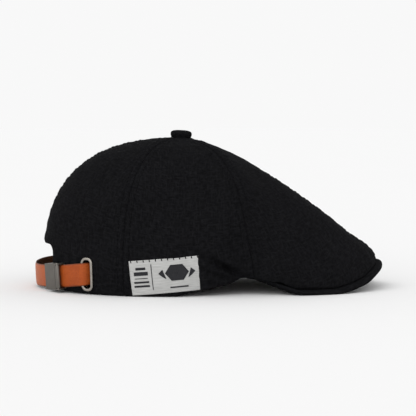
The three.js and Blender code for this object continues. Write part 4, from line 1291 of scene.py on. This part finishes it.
def plates(name, prisms, bevel=PLATE_BEVEL):
    """One piece of overlapping plates, each an outline in x and z between two y, with rounded edges."""
    whole = bpy.data.meshes.new(name)
    joined = bmesh.new()
    for outline, low, high in prisms:
        part = bmesh.new()
        ends = []
        for y in (low, high):
            ring = on_clasp(np.array([(x, y, z) for x, z in outline], float))
            ends.append([part.verts.new((point + SHIFT) * MM) for point in ring])
        for k in range(len(outline)):
            part.faces.new((ends[0][k - 1], ends[0][k], ends[1][k], ends[1][k - 1]))
        part.faces.new(ends[0][::-1])
        part.faces.new(ends[1])
        bmesh.ops.recalc_face_normals(part, faces=part.faces)
        sharp = [e for e in part.edges if e.calc_face_angle() > math.radians(BEVEL_OVER)]
        bmesh.ops.bevel(part, geom=sharp, offset=bevel * MM, segments=3, profile=0.5, affect="EDGES",
                        clamp_overlap=True)
        part.to_mesh(whole)
        part.free()
        joined.from_mesh(whole)
    joined.to_mesh(whole)
    joined.free()
    whole.polygons.foreach_set("use_smooth", [True] * len(whole.polygons))
    whole.set_sharp_from_angle(angle=math.radians(SHARP_OVER))
    return link(name, whole)


def arc(x, z, radius, start, end, steps=12):
    angles = np.radians(np.linspace(start, end, steps))
    return np.stack([x + radius * np.cos(angles), z + radius * np.sin(angles)], -1).tolist()


def make_clasp():
    top = CLASP_LIFT + CLASP_FLOOR
    floor = rectangle(CLASP_REAR, CLASP_FRONT, CLASP_LIFT, top)
    tongue = rectangle(TONGUE_REAR, CLASP_REAR + 1, CLASP_LIFT, top)
    ear = CLASP_FRONT - PIN_X
    wall = [(CLASP_REAR, CLASP_LIFT), (CLASP_FRONT, CLASP_LIFT), *arc(PIN_X, PIN_Z, ear, 0, 180),
            (PIN_X - ear, CLASP_RAIL), (CLASP_REAR, CLASP_RAIL)]
    inside = CLASP_HALF - CLASP_WALL
    channel = [(floor, -CLASP_HALF, CLASP_HALF), (tongue, -TONGUE_HALF, TONGUE_HALF),
               (wall, -CLASP_HALF, -inside), (wall, inside, CLASP_HALF)]
    place(plates("clasp_channel", channel), "metal", CLASP_STEEL, node="clasp_frame")
    low, high = PIN_Z - LEVER_PLATE / 2, PIN_Z + LEVER_PLATE / 2
    lip = LEVER_FREE + LEVER_LIP
    plate = [(LEVER_FREE, low + 0.45), (lip, low), (LEVER_SHOULDER, low), (LEVER_SHOULDER, high),
             (lip, high), (LEVER_FREE, high + 0.5)]
    arm = rectangle(LEVER_SHOULDER - 1, PIN_X - LEVER_EYE, low, high)
    cam = arc(PIN_X, PIN_Z - LEVER_ECCENTRIC, LEVER_CAM, 0, 350, 36)
    cover = [(plate, -CLASP_HALF, CLASP_HALF), (arm, -LEVER_HALF, LEVER_HALF), (cam, -LEVER_HALF, LEVER_HALF)]
    place(plates("clasp_cover_plate", cover), "metal", CLASP_STEEL, node="clasp_lever", body=LEVER_BODY)
    pin = arc(PIN_X, PIN_Z, PIN_RADIUS, 0, 345, 24)
    pin_end = CLASP_HALF + PIN_PROUD
    piece = plates("clasp_hinge_pin", [(pin, -pin_end, pin_end)], PIN_BEVEL)
    place(piece, "metal", GROMMET_STEEL, node="clasp_pin")
    ribbon("clasp_leather_tab", TAB_OUT, TAB_WIDTH, TAB_THICKNESS, 60, "clasp_tab")


# ---- Side label ----
LABEL_AZIMUTH, LABEL_HEIGHT, LABEL_WIDTH, LABEL_TALL, LABEL_TILT = -97.5, 17, 53.8, 27.2, 5
LABEL_THICKNESS, LABEL_BACK, LABEL_LIFT = 0.8, 0.45, 0.75  # how far its back, and most of its face, stand off
LABEL_EDGE, LABEL_EDGE_WIDTH, LABEL_VALLEY, LABEL_VALLEY_AT = 0.45, 0.5, 0.22, 1.7
LABEL_SWELL, LABEL_SWELL_OVER = 0.25, 6
WHIP_PITCH = 4.7  # between the stitches over the label's top edge
WHIP_REACH, WHIP_LENGTH, WHIP_RADIUS = 3.2, 3.1, 0.42  # a path of WHIP_REACH takes one stitch


def on_label(points):
    return lay_on_crown(points, LABEL_AZIMUTH, LABEL_HEIGHT, LABEL_TILT)


def label_face(x, y):
    """Height of the label's face above the crown: slightly pillowed between its sewn edges."""
    margin = np.minimum(LABEL_WIDTH / 2 - np.abs(x), LABEL_TALL / 2 - np.abs(y))
    swell = LABEL_SWELL * ripples(np.stack([x, y, 0 * x], -1), 26, 51)
    return (LABEL_LIFT + LABEL_THICKNESS * 0.75 + (LABEL_SWELL + swell * 0.6) * ease(margin / LABEL_SWELL_OVER)
            - LABEL_EDGE * bump(margin, LABEL_EDGE_WIDTH)
            - LABEL_VALLEY * bump(margin - LABEL_VALLEY_AT, LABEL_EDGE_WIDTH))


MARK_RAISE, MARK_ROOT, MARK_EDGE = 0.22, 0.35, 1.0  # height, depth into the label, and longest edge


def raised_mark(name, outline):
    """A woven mark on the label: an outline in label millimetres, filled and raised by a thread."""
    outline = np.array(outline, float)
    shape = bmesh.new()
    corners = [shape.verts.new((x, y, 0)) for x, y in outline]
    shape.faces.new(corners)
    bmesh.ops.triangulate(shape, faces=shape.faces)
    for _ in range(4):
        long_edges = [edge for edge in shape.edges if edge.calc_length() > MARK_EDGE]
        if not long_edges:
            break
        bmesh.ops.subdivide_edges(shape, edges=long_edges, cuts=1)
        bmesh.ops.triangulate(shape, faces=shape.faces)
    shape.verts.index_update()
    flat = np.array([v.co[:2] for v in shape.verts])
    faces = np.array([[v.index for v in f.verts] for f in shape.faces])
    shape.free()
    face = label_face(flat[:, 0], flat[:, 1])
    upper, lower = (on_label(np.column_stack([flat, face + out])) for out in (MARK_RAISE, -MARK_ROOT))
    place(closed_sheet(name, upper, lower, faces, smooth=False), "label", DARK_THREAD)


def bar(x, y, width, height):
    return rectangle(x - width / 2, x + width / 2, y - height / 2, y + height / 2)


def make_label():
    rows, columns = 60, 120
    x, y = np.meshgrid(np.linspace(-0.5, 0.5, columns), np.linspace(-0.5, 0.5, rows))
    x, y = x * LABEL_WIDTH, y * LABEL_TALL
    outer = on_label(np.stack([x, y, label_face(x, y)], -1))
    inner = on_label(np.stack([x, y, np.full_like(x, LABEL_BACK)], -1))
    piece = shell("label_patch", [(outer, inner, np.stack([x, y], -1))])
    place(piece, "label", LABEL, node="side_label")
    for index, x_at in enumerate(np.arange(-LABEL_WIDTH / 2 + 1.2, LABEL_WIDTH / 2, WHIP_PITCH)):
        line = np.linspace((x_at, LABEL_TALL / 2 + 0.9), (x_at + 0.8, LABEL_TALL / 2 - 2.3), 14)
        inside = ease((LABEL_TALL / 2 + 0.4 - line[:, 1]) / 0.8)
        out = 0.05 + (label_face(line[:, 0], np.minimum(line[:, 1], LABEL_TALL / 2)) + 0.1) * inside
        path, above = (on_label(np.column_stack([line, out + lift])) for lift in (0, 1))
        sew(f"label_stitch_{index + 1}", path, unit(above - path), "label",
            pitch=WHIP_REACH, length=WHIP_LENGTH, radius=WHIP_RADIUS)
    # A column of plain bars, a divider, and an emblem of plain shapes.
    column, divider, emblem_x, emblem_y = -18.5, -10.3, 9.3, 1.0
    for index, (y_at, width, tall) in enumerate(((7.0, 7.4, 2.0), (3.1, 10.6, 2.9), (-0.6, 9.8, 0.55),
                                                 (-3.6, 11.4, 1.5), (-6.7, 11.8, 1.5))):
        raised_mark(f"label_bar_{index + 1}", bar(column, y_at, width, tall))
    raised_mark("label_divider", bar(divider, 0, 0.55, 20))
    hexagon = [(emblem_x + 9.4 * math.cos(math.radians(k)), emblem_y + 1.2 + 7.2 * math.sin(math.radians(k)))
               for k in range(0, 360, 60)]
    raised_mark("label_emblem_hexagon", hexagon)
    for sign in (-1, 1):
        wing = [(emblem_x + sign * 11.2, emblem_y + 4.2), (emblem_x + sign * 14.6, emblem_y + 1.2),
                (emblem_x + sign * 11.2, emblem_y - 1.8), (emblem_x + sign * 8.6, emblem_y - 3.4),
                (emblem_x + sign * 10.2, emblem_y + 1.2)]
        raised_mark(f"label_emblem_wing_{'front' if sign > 0 else 'rear'}", wing[::sign])
    raised_mark("label_emblem_bar", bar(emblem_x + 1, -9.2, 14.5, 1.1))


# ---- Camera, floor and light ----
CAMERA_DISTANCE, CAMERA_ELEVATION = 1.16, 3.5
CAMERA_TARGET = Vector((-0.0004, 0, 0.0653))
SENSOR, LENS = 36.0, 119.5
BACKGROUND = 0.94  # the photograph's near-white, linear
FLOOR_SHADE, FLOOR_FLECK = 0.868, 0.008
FLOOR_REACH = 30  # metres
SUN_SPREAD, SUN_STRENGTH = 75, 0.9  # degrees, and watts to a square metre
SUN_TOWARDS = 0.45, 1.0, -0.62


def make_camera():
    camera = bpy.data.cameras.new("camera")
    camera.sensor_width, camera.lens = SENSOR, LENS
    camera.clip_end = 50
    eye = link("camera", camera)
    elevation = math.radians(CAMERA_ELEVATION)
    eye.location = CAMERA_TARGET + CAMERA_DISTANCE * Vector((0, -math.cos(elevation), math.sin(elevation)))
    eye.rotation_euler = (math.radians(90) - elevation, 0, 0)
    bpy.context.scene.camera = eye


def make_floor():
    """A pale floor that is large enough to meet the sky at the horizon."""
    mesh = bpy.data.meshes.new("floor")
    corners = [(x * FLOOR_REACH, y * FLOOR_REACH, 0) for x, y in ((-1, -1), (1, -1), (1, 1), (-1, 1))]
    mesh.from_pydata(corners, [], [(0, 1, 2, 3)])
    floor = link("floor", mesh)
    n = Nodes("pale_floor", Specular_IOR_Level=0.0)
    fleck = n.noise(n.place(), 3.0)
    mesh.materials.append(n.finish(n.mix(fleck, grey(FLOOR_SHADE), grey(FLOOR_SHADE + FLOOR_FLECK)), 0.9))


def make_light():
    """An even pale sky, and one broad sun that falls evenly on the whole floor."""
    world = bpy.data.worlds.new("studio")
    bpy.context.scene.world = world
    world.use_nodes = True
    world.node_tree.nodes["Background"].inputs["Color"].default_value = grey(BACKGROUND)
    light = bpy.data.lights.new("key", "SUN")
    light.energy, light.angle = SUN_STRENGTH, math.radians(SUN_SPREAD)
    lamp = link("key", light)
    lamp.rotation_euler = Vector(SUN_TOWARDS).to_track_quat("-Z", "Y").to_euler()
    bpy.context.scene.view_settings.view_transform = "Standard"


make_camera()
make_crown()
make_peak()
make_button()
make_sweatband()
make_tapes()
make_binding()
make_grommet()
ribbon("leather_strap", STRAP_OUT, STRAP_WIDTH, STRAP_THICKNESS, 260, "strap")
make_clasp()
make_label()
make_floor()
make_light()
